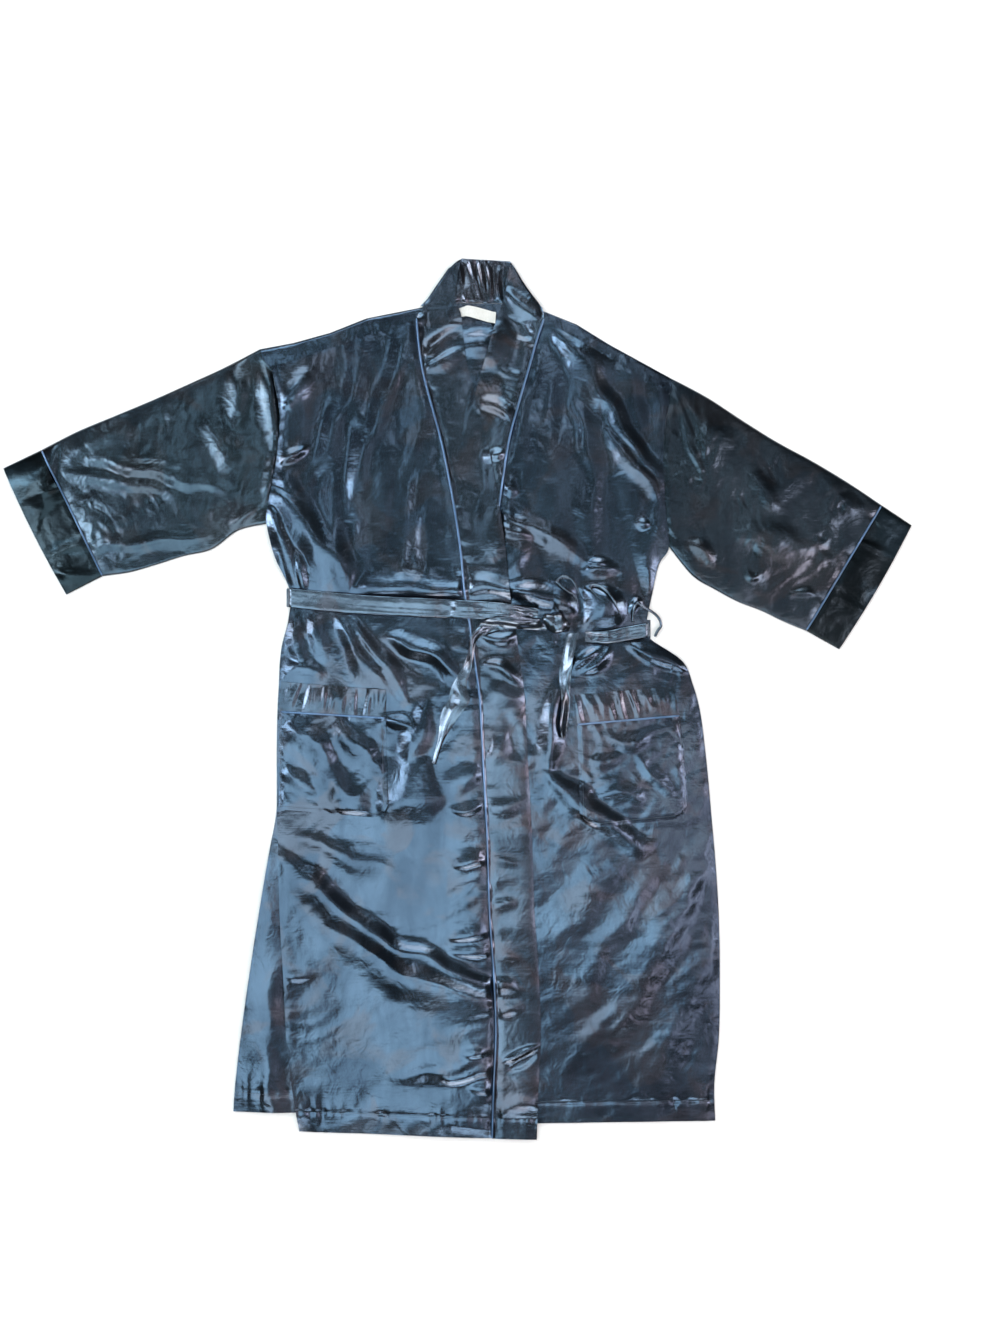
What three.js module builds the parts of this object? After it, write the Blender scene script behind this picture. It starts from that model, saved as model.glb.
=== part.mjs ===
// A knee-length satin robe, laid flat on its back with the wearer's right front over the left.
//
// Millimetres. +Z is up from the surface that it lies on, +Y runs towards the collar and +X
// towards the wearer's left. The origin is the middle of the garment's outline, on the surface.
//
// Every piece is a wall of cloth. The lowest pieces are laid first, and a relief map keeps how
// high the cloth lies so far, so that each next piece rests just above what it covers.

import * as THREE from 'three';

// ---- driving dimensions -----------------------------------------------------------------

const CLOTH = 1.4; // wall of the cloth, measured upright
const GAP = 0.3; // clearance at seams and between layers
const BAND_WIDTH = 58; // front band, from its piping to its free edge
const BELT_WIDTH = 24;
const BELT_SIDE_WIDTH = 17; // where the belt bunches towards the wearer's left side
const BELT_WALL = 1.4;
const BELT_TURN = 0.1; // how far past the side seam the belt turns down
const PIPING_WIDTH = 3.4;
const PIPING_HIGH = 1.7;
const SLEEVE_HOLLOW = 0.8; // height of the empty space inside a flat sleeve
const POCKET_LIFT = 0.5; // how far a pocket lies above its front
const PLEAT_HIGH = 2.2; // gathers of the pocket bands
const POCKET_PLEATS = 9;
const POCKET_COLUMNS = 7;
const COLLAR_PLEATS = 6;
const COLLAR_PLEAT_HIGH = 1.8;
const LOOP_WIDTH = 4.4; // narrow belt loop
const LOOP_WALL = 1.6;
const BELT_PRESS = 0.8; // how far the belt presses folds down, as a share of its width
const FRONT_SIDE_INSET = 0.0015; // shares of a front's width that it keeps off its side seam
const FRONT_EDGE_INSET = 0.0006; // and off its piped edge
const BAND_COLUMNS = [0.012, 0.34, 0.67, 1]; // shares of the way across a front band
const FOLD_BACK = 0.6; // how far a front's upper edge stays below the folded-over back
const CUFF_PIPING_LIFT = 0.5;
const SEAM_HALF_ROW = 0.02; // half the seam between a pocket and its band, in rows
const COLLAR_SEAM_RISE = 30; // how fast the collar's rows take on the curve of the neck seam
const RELIEF_CELL = 4; // the relief map's cell, and how far round a place each piece reads it
const PATCH_REACH = 16;
const BELT_REACH = 14;
const TAIL_REACH = 14;
const LOOP_REACH = 9;
const PIPING_REACH = 18;
const LABEL_REACH = 6;
const LABEL_WALL = 1;

// ---- outlines ---------------------------------------------------------------------------

// One row for each section of the body, from the shoulder seams down to the hem:
// seamRight  the side seam and armhole on the wearer's right, where back and front meet
// over       the piped edge of the right front, which lies on top
// under      the piped edge of the left front
// seamLeft   the side seam and armhole on the wearer's left
// vent       the right front's own edge, where the open side vent parts it from the back
const SECTIONS = [
  { seamRight: [-242, 430], over: [-53, 493], under: [112, 492], seamLeft: [275, 398] },
  { seamRight: [-236, 401], over: [-50, 460], under: [103, 465], seamLeft: [275, 382] },
  { seamRight: [-231, 369], over: [-44, 421], under: [93, 430], seamLeft: [271, 361] },
  { seamRight: [-232, 340], over: [-31, 372], under: [77, 374], seamLeft: [268, 330] },
  { seamRight: [-236, 307], over: [-19, 326], under: [66, 330], seamLeft: [268, 294] },
  { seamRight: [-246, 252], over: [-7, 265], under: [57, 271], seamLeft: [271, 242] },
  { seamRight: [-248, 227], over: [-1, 229], under: [51, 232], seamLeft: [275, 197] },
  { seamRight: [-238, 185], over: [5, 185], under: [45, 187], seamLeft: [262, 174] },
  { seamRight: [-218, 140], over: [10, 133], under: [38, 138], seamLeft: [253, 135] },
  { seamRight: [-220, 102], over: [16, 97], under: [34, 99], seamLeft: [246, 99] },
  { seamRight: [-228, 70], over: [21, 60], under: [32, 70], seamLeft: [249, 79] },
  { seamRight: [-231, 45], over: [25, 31], under: [29, 33], seamLeft: [292, 49] },
  { seamRight: [-232, 22], over: [29, 2], under: [27, -6], seamLeft: [306, 18] },
  { seamRight: [-234, -17], over: [31, -33], under: [25, -45], seamLeft: [316, -20] },
  { seamRight: [-235, -73], over: [34, -93], under: [23, -110], seamLeft: [324, -85] },
  { seamRight: [-235, -142], over: [38, -166], under: [20, -181], seamLeft: [330, -151] },
  { seamRight: [-244, -197], over: [40, -220], under: [18, -236], seamLeft: [336, -220],
    vent: [-233, -197] },
  { seamRight: [-257, -275], over: [42, -281], under: [16, -294], seamLeft: [340, -291],
    vent: [-231, -281] },
  { seamRight: [-270, -359], over: [47, -353], under: [13, -359], seamLeft: [341, -363],
    vent: [-226, -366] },
  { seamRight: [-281, -437], over: [50, -431], under: [10, -437], seamLeft: [340, -437],
    vent: [-222, -445] },
  { seamRight: [-288, -496], over: [47, -505], under: [7, -502], seamLeft: [334, -499],
    vent: [-215, -505] },
  { seamRight: [-291, -536], over: [45, -570], under: [6, -553], seamLeft: [335, -548],
    vent: [-206, -562] },
];
const LAST_ROW = SECTIONS.length - 1;
const UNDERARM_ROW = 6;
const BELT_ROW = 10;
const POCKET_TOP_ROW = 12;
const POCKET_SEAM_ROW = 13;
const POCKET_FOOT_ROW = 15;
const POCKET_BAG_ROWS = [POCKET_SEAM_ROW + SEAM_HALF_ROW, 13.5, 14, 14.4, 14.76, POCKET_FOOT_ROW];
const POCKET_BAND_ROWS = [POCKET_TOP_ROW, POCKET_TOP_ROW + 0.5, POCKET_SEAM_ROW - SEAM_HALF_ROW];

// The upper edge of the laid-out body, from the wearer's right shoulder to the left one. The
// back runs up to it; between the neck points it is the seam of the collar.
const TOP_EDGE = [
  [-256, 454], [-213, 462], [-166, 475], [-118, 494], [-47, 508], [6, 514],
  [60, 513], [110, 504], [155, 486], [197, 460], [239, 437], [279, 415],
];
const NECK_RIGHT = -50; // how far the folded-over shoulders reach towards the neck
const NECK_LEFT = 114;
const NECK_MARGIN = 14;

// The collar stands up from the neck seam, from its folded top down to the seam.
const COLLAR = [
  { right: [6, 571.7], left: [68, 568] },
  { right: [-11, 561], left: [79, 555] },
  { right: [-33, 532], left: [95, 531] },
  { right: [-48, 509.5], left: [111, 506.5] },
];

// Each sleeve, from the armhole to the cuff seam, and then its cuff.
const SLEEVE_RIGHT = [
  { upper: [-256, 454], lower: [-248, 227] },
  { upper: [-302, 430], lower: [-285, 218] },
  { upper: [-350, 408], lower: [-319, 194] },
  { upper: [-397, 387], lower: [-356, 185] },
  { upper: [-445, 367], lower: [-391, 174] },
  { upper: [-493, 347], lower: [-426, 164] },
  { upper: [-540, 323], lower: [-461, 159] },
];
const CUFF_RIGHT = [
  { upper: [-540, 323], lower: [-461, 159] },
  { upper: [-590, 299], lower: [-508, 135] },
];
const SLEEVE_LEFT = [
  { upper: [279, 415], lower: [275, 197] },
  { upper: [324, 391], lower: [305, 160] },
  { upper: [370, 361], lower: [334, 142] },
  { upper: [415, 333], lower: [364, 126] },
  { upper: [461, 308], lower: [395, 114] },
  { upper: [506, 281], lower: [424, 100] },
  { upper: [551, 251], lower: [453, 88] },
];
const CUFF_LEFT = [
  { upper: [551, 251], lower: [453, 88] },
  { upper: [590, 225], lower: [496, 64] },
];

// Pockets, as shares of the way across their front from the side seam, with the lower corners
// that are rounded. The right one's outer edge is caught in the side seam.
const POCKETS = {
  right: { from: 0.012, to: 0.533, rounded: ['right'] },
  left: { from: 0.095, to: 0.553, rounded: ['left', 'right'] },
};

const LABEL = [
  { top: [-6, 504], bottom: [-6, 495] },
  { top: [7, 508], bottom: [7, 496] },
  { top: [15, 510], bottom: [14, 496] },
  { top: [33, 506], bottom: [32, 491] },
  { top: [50, 501], bottom: [49, 486] },
];

// ---- folds ------------------------------------------------------------------------------

// Soft ridges of cloth: each runs from `from` by way of `bend` to `to`, and is `high` at its
// middle and about `wide` to either side of its crest.
const FOLDS_OVER = [
  { name: 'hip_long', from: [-198, -207], bend: [-77, -330], to: [45, -366], high: 8, wide: 18 },
  { name: 'hip_upper', from: [-205, -177], bend: [-153, -197], to: [-81, -233], high: 4, wide: 18 },
  { name: 'underarm', from: [-239, 252], bend: [-181, 213], to: [-138, 142], high: 7, wide: 16 },
  { name: 'below_belt', from: [-153, 107], bend: [-124, 57], to: [-85, -8], high: 7, wide: 16 },
  { name: 'waist_above', from: [-215, 200], bend: [-205, 167], to: [-197, 141], high: 6, wide: 13 },
  { name: 'waist_below', from: [-210, 102], bend: [-201, 63], to: [-198, 27], high: 6, wide: 13 },
  { name: 'chest', from: [-72, 460], bend: [-116, 356], to: [-179, 272], high: 4, wide: 23 },
  { name: 'puff', from: [-137, 149], bend: [-36, 149], to: [63, 138], high: 8, wide: 13 },
  { name: 'by_band', from: [-94, 81], bend: [-49, 57], to: [1, 19], high: 6, wide: 16 },
  { name: 'by_pocket', from: [-33, -5], bend: [-64, -67], to: [-83, -138], high: 7, wide: 17 },
  { name: 'hem', from: [-77, -493], bend: [-23, -486], to: [37, -473], high: 4, wide: 18 },
];
const FOLDS_UNDER = [
  { name: 'chest', from: [129, 474], bend: [201, 401], to: [258, 268], high: 6, wide: 17 },
  { name: 'wrap', from: [63, 242], bend: [114, 222], to: [170, 177], high: 4, wide: 14 },
  { name: 'gather_inner', from: [136, 150], bend: [154, 141], to: [172, 99], high: 9, wide: 12 },
  { name: 'gather_outer', from: [181, 138], bend: [202, 131], to: [214, 97], high: 8, wide: 12 },
  { name: 'puff', from: [73, 138], bend: [114, 128], to: [154, 119], high: 8, wide: 12 },
  { name: 'hip', from: [222, 71], bend: [250, 45], to: [300, 24], high: 8, wide: 14 },
  { name: 'hip_edge', from: [250, 73], bend: [274, 60], to: [300, 19], high: 5, wide: 13 },
  { name: 'below_belt', from: [194, 68], bend: [172, 55], to: [151, 37], high: 7, wide: 13 },
  { name: 'by_pocket', from: [133, 11], bend: [120, -41], to: [128, -90], high: 7, wide: 14 },
  { name: 'under_pocket', from: [114, -85], bend: [170, -166], to: [237, -197], high: 9, wide: 17 },
  { name: 'skirt_long', from: [185, -473], bend: [257, -340], to: [318, -213], high: 4, wide: 23 },
  { name: 'skirt_inner', from: [149, -398], bend: [205, -301], to: [253, -218], high: 3, wide: 21 },
  { name: 'skirt_outer', from: [237, -512], bend: [302, -405], to: [331, -307], high: 3, wide: 21 },
  { name: 'side', from: [259, 252], bend: [248, 193], to: [250, 138], high: 4, wide: 16 },
];
const FOLDS_BAND = [...FOLDS_OVER, ...FOLDS_UNDER];
const FOLDS_SLEEVES = [
  { name: 'right_long', from: [-497, 294], bend: [-400, 287], to: [-288, 258], high: 2.8, wide: 16 },
  { name: 'right_cap', from: [-279, 437], bend: [-270, 408], to: [-254, 372], high: 2.2, wide: 12 },
  { name: 'right_lower', from: [-478, 232], bend: [-400, 216], to: [-302, 232], high: 2.4, wide: 13 },
  { name: 'left_cap', from: [302, 388], bend: [322, 336], to: [315, 284], high: 2.4, wide: 14 },
  { name: 'left_upper', from: [322, 349], bend: [406, 336], to: [504, 258], high: 2.8, wide: 16 },
  { name: 'left_lower', from: [309, 180], bend: [374, 180], to: [445, 122], high: 2.4, wide: 16 },
];

// ---- belt -------------------------------------------------------------------------------

// The middle line of each stretch of the belt, which presses the folds down along it.
const BELT_RIGHT_LINE = [[-220.6, 131], [-123, 122], [-24, 117], [55, 113], [104, 107]];
const BELT_LEFT_LINE = [[166, 80], [196, 80], [218, 84], [249.4, 89.5]];
const BELT_BACK_LINE = [[-222, 131], [-90, 118], [80, 104], [250.8, 90]];
const KNOT = {
  x: 128,
  y: 97,
  long: 36,
  wide: 22,
  high: 9,
  turn: -0.42,
  flat: 0.5, // share of the half height that its flat underside cuts off
  groove: 0.18,
  grooveAt: 0.25,
  grooveWide: 0.22,
};

// The free ends, as sections across them from the knot to the tip.
const TAIL_RIGHT = [
  { left: [57, 105], right: [57, 89] },
  { left: [37, 101], right: [41, 85] },
  { left: [19, 84], right: [25, 75] },
  { left: [13, 57], right: [21, 55] },
  { left: [5, 38], right: [18, 38] },
  { left: [-7, 16], right: [12, 18] },
  { left: [-12, -2], right: [16, -3] },
  { left: [-21, -20], right: [5, -19] },
  { left: [-25, -51], right: [-16, -51] },
  { left: [-33, -83], right: [-28, -85] },
];
const TAIL_LEFT = [
  { left: [142, 84], right: [158, 86] },
  { left: [136, 57], right: [151, 57] },
  { left: [132, 33], right: [148, 36] },
  { left: [134, 11], right: [146, 11] },
  { left: [135, -6], right: [146, -7] },
  { left: [133, -36], right: [142, -37] },
  { left: [135, -51], right: [140, -51] },
];

// The narrow belt loop stands out past the side seam.
const LOOP_LINE = [
  [228, 98], [228, 112], [233, 124], [241, 119], [250, 114], [258, 108], [263, 101],
  [264, 94], [260, 88], [256, 80],
];

// ---- colours ----------------------------------------------------------------------------

const SATIN = { color: 0x26323e, roughness: 0.32, metalness: 0.0 };
const SATIN_BAND = { color: 0x2c3a48, roughness: 0.32, metalness: 0.0 };
const PIPING = { color: 0x4f6f9c, roughness: 0.4, metalness: 0.0 };
const TAB = { color: 0xe6e6e0, roughness: 0.8, metalness: 0.0 };

const robe = new THREE.Group();
robe.name = 'robe';

function add(name, geometry, finish) {
  geometry.computeVertexNormals();
  const mesh = new THREE.Mesh(geometry, new THREE.MeshStandardMaterial(finish));
  mesh.name = name;
  robe.add(mesh);
}

// ---- small helpers ----------------------------------------------------------------------

const mix = (a, b, t) => a + (b - a) * t;
const mixPoint = (a, b, t) => [mix(a[0], b[0], t), mix(a[1], b[1], t)];
const clamp = (value, low, high) => Math.min(Math.max(value, low), high);
const bell = (distance, wide) => Math.exp(-((distance / wide) ** 2));

// A smooth curve through a list of points, read at row numbers from 0 to points.length - 1.
function curveThrough(points) {
  const before = points.map((p, k) => points[Math.max(k - 1, 0)]);
  const after = points.map((p, k) => points[Math.min(k + 1, points.length - 1)]);
  const slope = (k, axis) => (after[k][axis] - before[k][axis]) / 2;
  return (row) => {
    const k = Math.min(Math.floor(row), points.length - 2);
    const t = row - k;
    const blend = [0, 1].map((axis) => {
      const a = points[k][axis];
      const b = points[k + 1][axis];
      const rise = (2 * t ** 3 - 3 * t ** 2 + 1) * a + (3 * t ** 2 - 2 * t ** 3) * b;
      const leave = (t ** 3 - 2 * t ** 2 + t) * slope(k, axis);
      const arrive = (t ** 3 - t ** 2) * slope(k + 1, axis);
      return rise + leave + arrive;
    });
    return blend;
  };
}

// The height of a line of points at `x`. The points run in the direction of +X.
function heightAt(line, x) {
  const last = line.length - 1;
  const [from] = line[0];
  const [to] = line[last];
  const place = clamp(x, from, to);
  const k = clamp(line.findIndex((p) => p[0] >= place), 1, last);
  const [ax, ay] = line[k - 1];
  const [bx, by] = line[k];
  return mix(ay, by, (place - ax) / (bx - ax));
}

// Row numbers from `first` to `last`, each whole row split so that no step passes `step`.
function rowsBetween(curves, first, last, step) {
  const rows = [first];
  for (let row = first; row < last; row += 1) {
    const lengths = curves.map((curve) => {
      const [ax, ay] = curve(row);
      const [bx, by] = curve(row + 1);
      return Math.hypot(bx - ax, by - ay);
    });
    const parts = Math.max(1, Math.ceil(Math.max(...lengths) / step));
    for (let part = 1; part <= parts; part += 1) {
      rows.push(row + part / parts);
    }
  }
  return rows;
}

// Even shares of the way across, with the given ones among them.
function sharesAcross(parts, ...kept) {
  const marks = [0, ...kept, 1];
  const shares = [0];
  for (let k = 1; k < marks.length; k += 1) {
    const steps = Math.max(1, Math.round((marks[k] - marks[k - 1]) * parts));
    for (let s = 1; s <= steps; s += 1) {
      shares.push(mix(marks[k - 1], marks[k], s / steps));
    }
  }
  return shares;
}

// ---- walls of cloth ---------------------------------------------------------------------

// A grid of cloth points, row by row, each { x, y, low, high }, with its triangles as seen
// from above. `cut` may leave out a cell's outer half: it is called with the cell's place.
function sheetOf(grid, cut = () => null) {
  const points = grid.flat();
  const across = grid[0].length;
  const triangles = [];
  for (let j = 0; j + 1 < grid.length; j += 1) {
    for (let i = 0; i + 1 < across; i += 1) {
      const a = j * across + i;
      const b = a + 1;
      const c = a + across;
      const d = c + 1;
      const corner = cut(i, j);
      if (corner === 'footRight') {
        triangles.push([a, c, b]);
      } else if (corner === 'footLeft') {
        triangles.push([a, d, b]);
      } else if ((i + j) % 2 === 0) {
        triangles.push([a, c, b], [b, c, d]);
      } else {
        triangles.push([a, c, d], [a, d, b]);
      }
    }
  }
  return { points, triangles };
}

// Closes a sheet into a solid: its top, its underside and a wall round every open edge.
function wallGeometry({ points, triangles }) {
  const used = [...new Set(triangles.flat())];
  const place = new Map(used.map((point, k) => [point, k]));
  const count = used.length;
  const position = [];
  for (const key of ['high', 'low']) {
    for (const point of used) {
      position.push(points[point].x, points[point].y, points[point][key]);
    }
  }
  const index = [];
  const edges = new Set();
  for (const [a, b, c] of triangles.map((corners) => corners.map((p) => place.get(p)))) {
    index.push(a, b, c, a + count, c + count, b + count);
    for (const [from, to] of [[a, b], [b, c], [c, a]]) {
      edges.add(from * count + to);
    }
  }
  for (const edge of edges) {
    const from = Math.floor(edge / count);
    const to = edge % count;
    if (!edges.has(to * count + from)) {
      index.push(from + count, to + count, to, from + count, to, from);
    }
  }
  return geometryOf(position, index);
}

function geometryOf(position, index) {
  const geometry = new THREE.BufferGeometry();
  geometry.setAttribute('position', new THREE.Float32BufferAttribute(position, 3));
  geometry.setIndex(index);
  return geometry;
}

// ---- the relief of what is laid already -------------------------------------------------

const RELIEF_HALF_X = 620;
const RELIEF_HALF_Y = 600;
const RELIEF_ACROSS = Math.ceil((2 * RELIEF_HALF_X) / RELIEF_CELL);
const RELIEF_DOWN = Math.ceil((2 * RELIEF_HALF_Y) / RELIEF_CELL);
const relief = new Float32Array(RELIEF_ACROSS * RELIEF_DOWN).fill(-1);
const columnOf = (x) => Math.floor((x + RELIEF_HALF_X) / RELIEF_CELL);
const lineOf = (y) => Math.floor((y + RELIEF_HALF_Y) / RELIEF_CELL);

const apart = (a, b) => Math.hypot(b.x - a.x, b.y - a.y);

// Raises the relief under one triangle of a sheet's top, a little wider than the triangle.
function layTriangle(a, b, c) {
  const area = (b.x - a.x) * (c.y - a.y) - (c.x - a.x) * (b.y - a.y);
  const longest = Math.max(apart(a, b), apart(b, c), apart(c, a));
  const slack = (RELIEF_CELL * longest) / Math.abs(area);
  const top = Math.max(a.high, b.high, c.high);
  const lastLine = lineOf(Math.max(a.y, b.y, c.y));
  const lastColumn = columnOf(Math.max(a.x, b.x, c.x));
  for (let line = lineOf(Math.min(a.y, b.y, c.y)); line <= lastLine; line += 1) {
    const y = (line + 0.5) * RELIEF_CELL - RELIEF_HALF_Y;
    for (let col = columnOf(Math.min(a.x, b.x, c.x)); col <= lastColumn; col += 1) {
      const x = (col + 0.5) * RELIEF_CELL - RELIEF_HALF_X;
      const shareB = ((x - a.x) * (c.y - a.y) - (c.x - a.x) * (y - a.y)) / area;
      const shareC = ((b.x - a.x) * (y - a.y) - (x - a.x) * (b.y - a.y)) / area;
      if (shareB > -slack && shareC > -slack && shareB + shareC < 1 + slack) {
        const level = a.high + shareB * (b.high - a.high) + shareC * (c.high - a.high);
        const climb = (Math.abs(b.high - a.high) + Math.abs(c.high - a.high)) * slack;
        const cell = line * RELIEF_ACROSS + col;
        relief[cell] = Math.max(relief[cell], Math.min(level + climb, top));
      }
    }
  }
}

function lay({ points, triangles }) {
  for (const [a, b, c] of triangles) {
    layTriangle(points[a], points[b], points[c]);
  }
}

// The highest cloth within `reach` of a place, or `floor` where there is none.
function reliefNear([x, y], reach, floor = 0) {
  let top = floor;
  const cells = Math.ceil(reach / RELIEF_CELL);
  for (let line = lineOf(y) - cells; line <= lineOf(y) + cells; line += 1) {
    for (let col = columnOf(x) - cells; col <= columnOf(x) + cells; col += 1) {
      const near = Math.hypot(line - lineOf(y), col - columnOf(x)) <= cells;
      const level = relief[line * RELIEF_ACROSS + col];
      if (near && level >= 0) {
        top = Math.max(top, level + GAP);
      }
    }
  }
  return top;
}

// ---- fold heights -----------------------------------------------------------------------

const FOLD_STEPS = 16;
const FOLD_ENDS = [0.12, 0.88]; // where on a half wave a fold starts and stops
const FOLD_FADE = 0.7;

// The height that a list of folds gives at a place: a bell across each fold, fading at its ends.
function foldHeight(folds, [x, y]) {
  let height = 0;
  for (const fold of folds) {
    let best = 0;
    for (let step = 0; step <= FOLD_STEPS; step += 1) {
      const t = step / FOLD_STEPS;
      const [px, py] = mixPoint(mixPoint(fold.from, fold.bend, t), mixPoint(fold.bend, fold.to, t), t);
      const fade = Math.sin(Math.PI * mix(...FOLD_ENDS, t)) ** FOLD_FADE;
      best = Math.max(best, fade * bell(Math.hypot(x - px, y - py), fold.wide));
    }
    height = Math.max(height, best * fold.high);
  }
  return height;
}

// How much of a fold is left where the belt presses the cloth down: none at its middle line.
function pressedByBelt([x, y]) {
  const line = x < KNOT.x ? BELT_RIGHT_LINE : BELT_LEFT_LINE;
  return 1 - bell(y - heightAt(line, x), BELT_WIDTH * BELT_PRESS);
}

// ---- the body ---------------------------------------------------------------------------

const ROW_STEP = 36;
const seamRight = curveThrough(SECTIONS.map((row) => row.seamRight));
const seamLeft = curveThrough(SECTIONS.map((row) => row.seamLeft));
const overEdge = curveThrough(SECTIONS.map((row) => row.over));
const underEdge = curveThrough(SECTIONS.map((row) => row.under));
const ventEdge = curveThrough(SECTIONS.map((row) => row.vent ?? row.seamRight));
const BODY_ROWS = rowsBetween([seamRight, seamLeft, overEdge, underEdge], 0, LAST_ROW, ROW_STEP);
const ARMHOLE_ROWS = BODY_ROWS.filter((row) => row <= UNDERARM_ROW);
const BACK_ROWS = BODY_ROWS.slice(1).filter((row) => row <= BELT_ROW || Number.isInteger(row));

const REACH = 30; // no cell of the large panels is longer than this

function panelPoint(place, folds) {
  const low = reliefNear(place, REACH) + foldHeight(folds, place) * pressedByBelt(place);
  return { x: place[0], y: place[1], low, high: low + CLOTH };
}

// The line of the shoulder seams: straight from each armhole to the neck.
function shoulderSeamAt(x) {
  const first = SECTIONS[0];
  const [from, to] = x < 0 ? [first.seamRight, first.over] : [first.under, first.seamLeft];
  return mix(from[1], to[1], (x - from[0]) / (to[0] - from[0]));
}

// The run of the belt that passes under the back.
const BELT_BACK_STEPS = 10;
function beltBackSheet() {
  const line = curveThrough(BELT_BACK_LINE);
  const grid = [0.5, -0.5].map((side) => Array.from({ length: BELT_BACK_STEPS + 1 }, (_, k) => {
    const [x, y] = line((k / BELT_BACK_STEPS) * (BELT_BACK_LINE.length - 1));
    return { x, y: y + side * BELT_WIDTH, low: 0, high: BELT_WALL };
  }));
  return sheetOf(grid);
}

// The back lies flat under everything. Above the shoulder seams it is folded over to the
// front, so that it is double there: the folded part starts just past the fronts' edge.
function backSheet() {
  const [right, left] = [seamRight(0), seamLeft(0)];
  const shareOf = (x) => (x - right[0]) / (left[0] - right[0]);
  const neck = [NECK_RIGHT, NECK_RIGHT + 1, NECK_LEFT - 1, NECK_LEFT].map(shareOf);
  const shares = sharesAcross(11, ...neck);
  const isNeck = (u) => u > neck[0] + 1e-6 && u < neck[3] - 1e-6;
  const point = (place, thick) => {
    const low = reliefNear(place, REACH);
    return { x: place[0], y: place[1], low, high: low + thick };
  };
  const topPlace = (u) => {
    const x = mix(TOP_EDGE[0][0], TOP_EDGE[TOP_EDGE.length - 1][0], u);
    return [x, heightAt(TOP_EDGE, x)];
  };
  const seamPlace = (u) => {
    const x = mix(right[0], left[0], u);
    return [x, isNeck(u) ? heightAt(TOP_EDGE, x) - NECK_MARGIN : shoulderSeamAt(x)];
  };
  const double = 2 * CLOTH + GAP;
  const grid = [shares.map((u) => point(topPlace(u), isNeck(u) ? CLOTH : double))];
  for (const [rise, thick] of [[GAP, double], [-GAP, CLOTH]]) {
    grid.push(shares.map((u) => {
      const [x, y] = seamPlace(u);
      return point([x, y + rise], isNeck(u) ? CLOTH : thick);
    }));
  }
  for (const row of BACK_ROWS) {
    const fade = clamp(1 - row / UNDERARM_ROW, 0, 1);
    grid.push(shares.map((u) => {
      const [x, y] = mixPoint(seamRight(row), seamLeft(row), u);
      const chord = mix(right[1], left[1], u);
      return point([x, y + (seamPlace(u)[1] - chord) * fade], CLOTH);
    }));
  }
  return sheetOf(grid);
}

// A front: from its side seam, or its vent, to its piped edge.
function frontSheet(side, edge, kept, folds, flip) {
  const shares = sharesAcross(12, ...kept);
  const grid = BODY_ROWS.map((row) => shares.map((share) => {
    const u = clamp(share, FRONT_SIDE_INSET, 1 - FRONT_EDGE_INSET);
    const place = mixPoint(side(row), edge(row), u);
    const drop = row === 0 ? FOLD_BACK : 0;
    return panelPoint([place[0], place[1] - drop], folds);
  }));
  return sheetOf(flip ? grid.map((line) => line.toReversed()) : grid);
}

// A front band: from the piping outwards to its free edge, square to the piping. Its upper
// end follows the outline of the collar that it lies on.
function bandSheet(edge, rows, folds, outward, collarSide, flip) {
  const square = (row) => {
    const [ax, ay] = edge(Math.max(row - 0.3, 0));
    const [bx, by] = edge(Math.min(row + 0.3, LAST_ROW));
    const length = Math.hypot(bx - ax, by - ay);
    return [(-(by - ay) / length) * outward, ((bx - ax) / length) * outward];
  };
  const grid = rows.map((row) => BAND_COLUMNS.map((share) => {
    const [x, y] = edge(row);
    const [nx, ny] = square(row);
    return panelPoint([x + nx * BAND_WIDTH * share, y + ny * BAND_WIDTH * share], folds);
  }));
  const neckRows = collarSide.map((end) => (
    BAND_COLUMNS.map((share) => panelPoint(mixPoint(end.from, end.to, share), folds))
  ));
  const whole = [...neckRows, ...grid];
  return sheetOf(flip ? whole.map((line) => line.toReversed()) : whole);
}

// The upper ends of the two bands, from the fold at the top of the collar down to the
// shoulder seams, as the piping's place and the free edge's.
const BAND_TOP_RIGHT = [
  { from: [-12, 558], to: [4, 567] },
  { from: [-31, 531], to: [0, 545] },
  { from: [-46, 508], to: [-2, 518] },
];
const BAND_TOP_LEFT = [
  { from: [78, 550], to: [68, 562] },
  { from: [91, 529], to: [65, 540] },
  { from: [108, 507], to: [61, 520] },
];

// ---- piping -----------------------------------------------------------------------------

// A raised strip along a list of places, each with the height that it lies at.
function pipingSheet(line) {
  const grid = [0.5, -0.5].map((side) => line.map((place, k) => {
    const before = line[Math.max(k - 1, 0)];
    const after = line[Math.min(k + 1, line.length - 1)];
    const length = Math.hypot(after.x - before.x, after.y - before.y);
    const x = place.x - ((after.y - before.y) / length) * side * PIPING_WIDTH;
    const y = place.y + ((after.x - before.x) / length) * side * PIPING_WIDTH;
    return { x, y, low: place.z, high: place.z + PIPING_HIGH };
  }));
  return sheetOf(grid);
}

// ---- tubes that lie flat: sleeves and cuffs -----------------------------------------------

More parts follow.
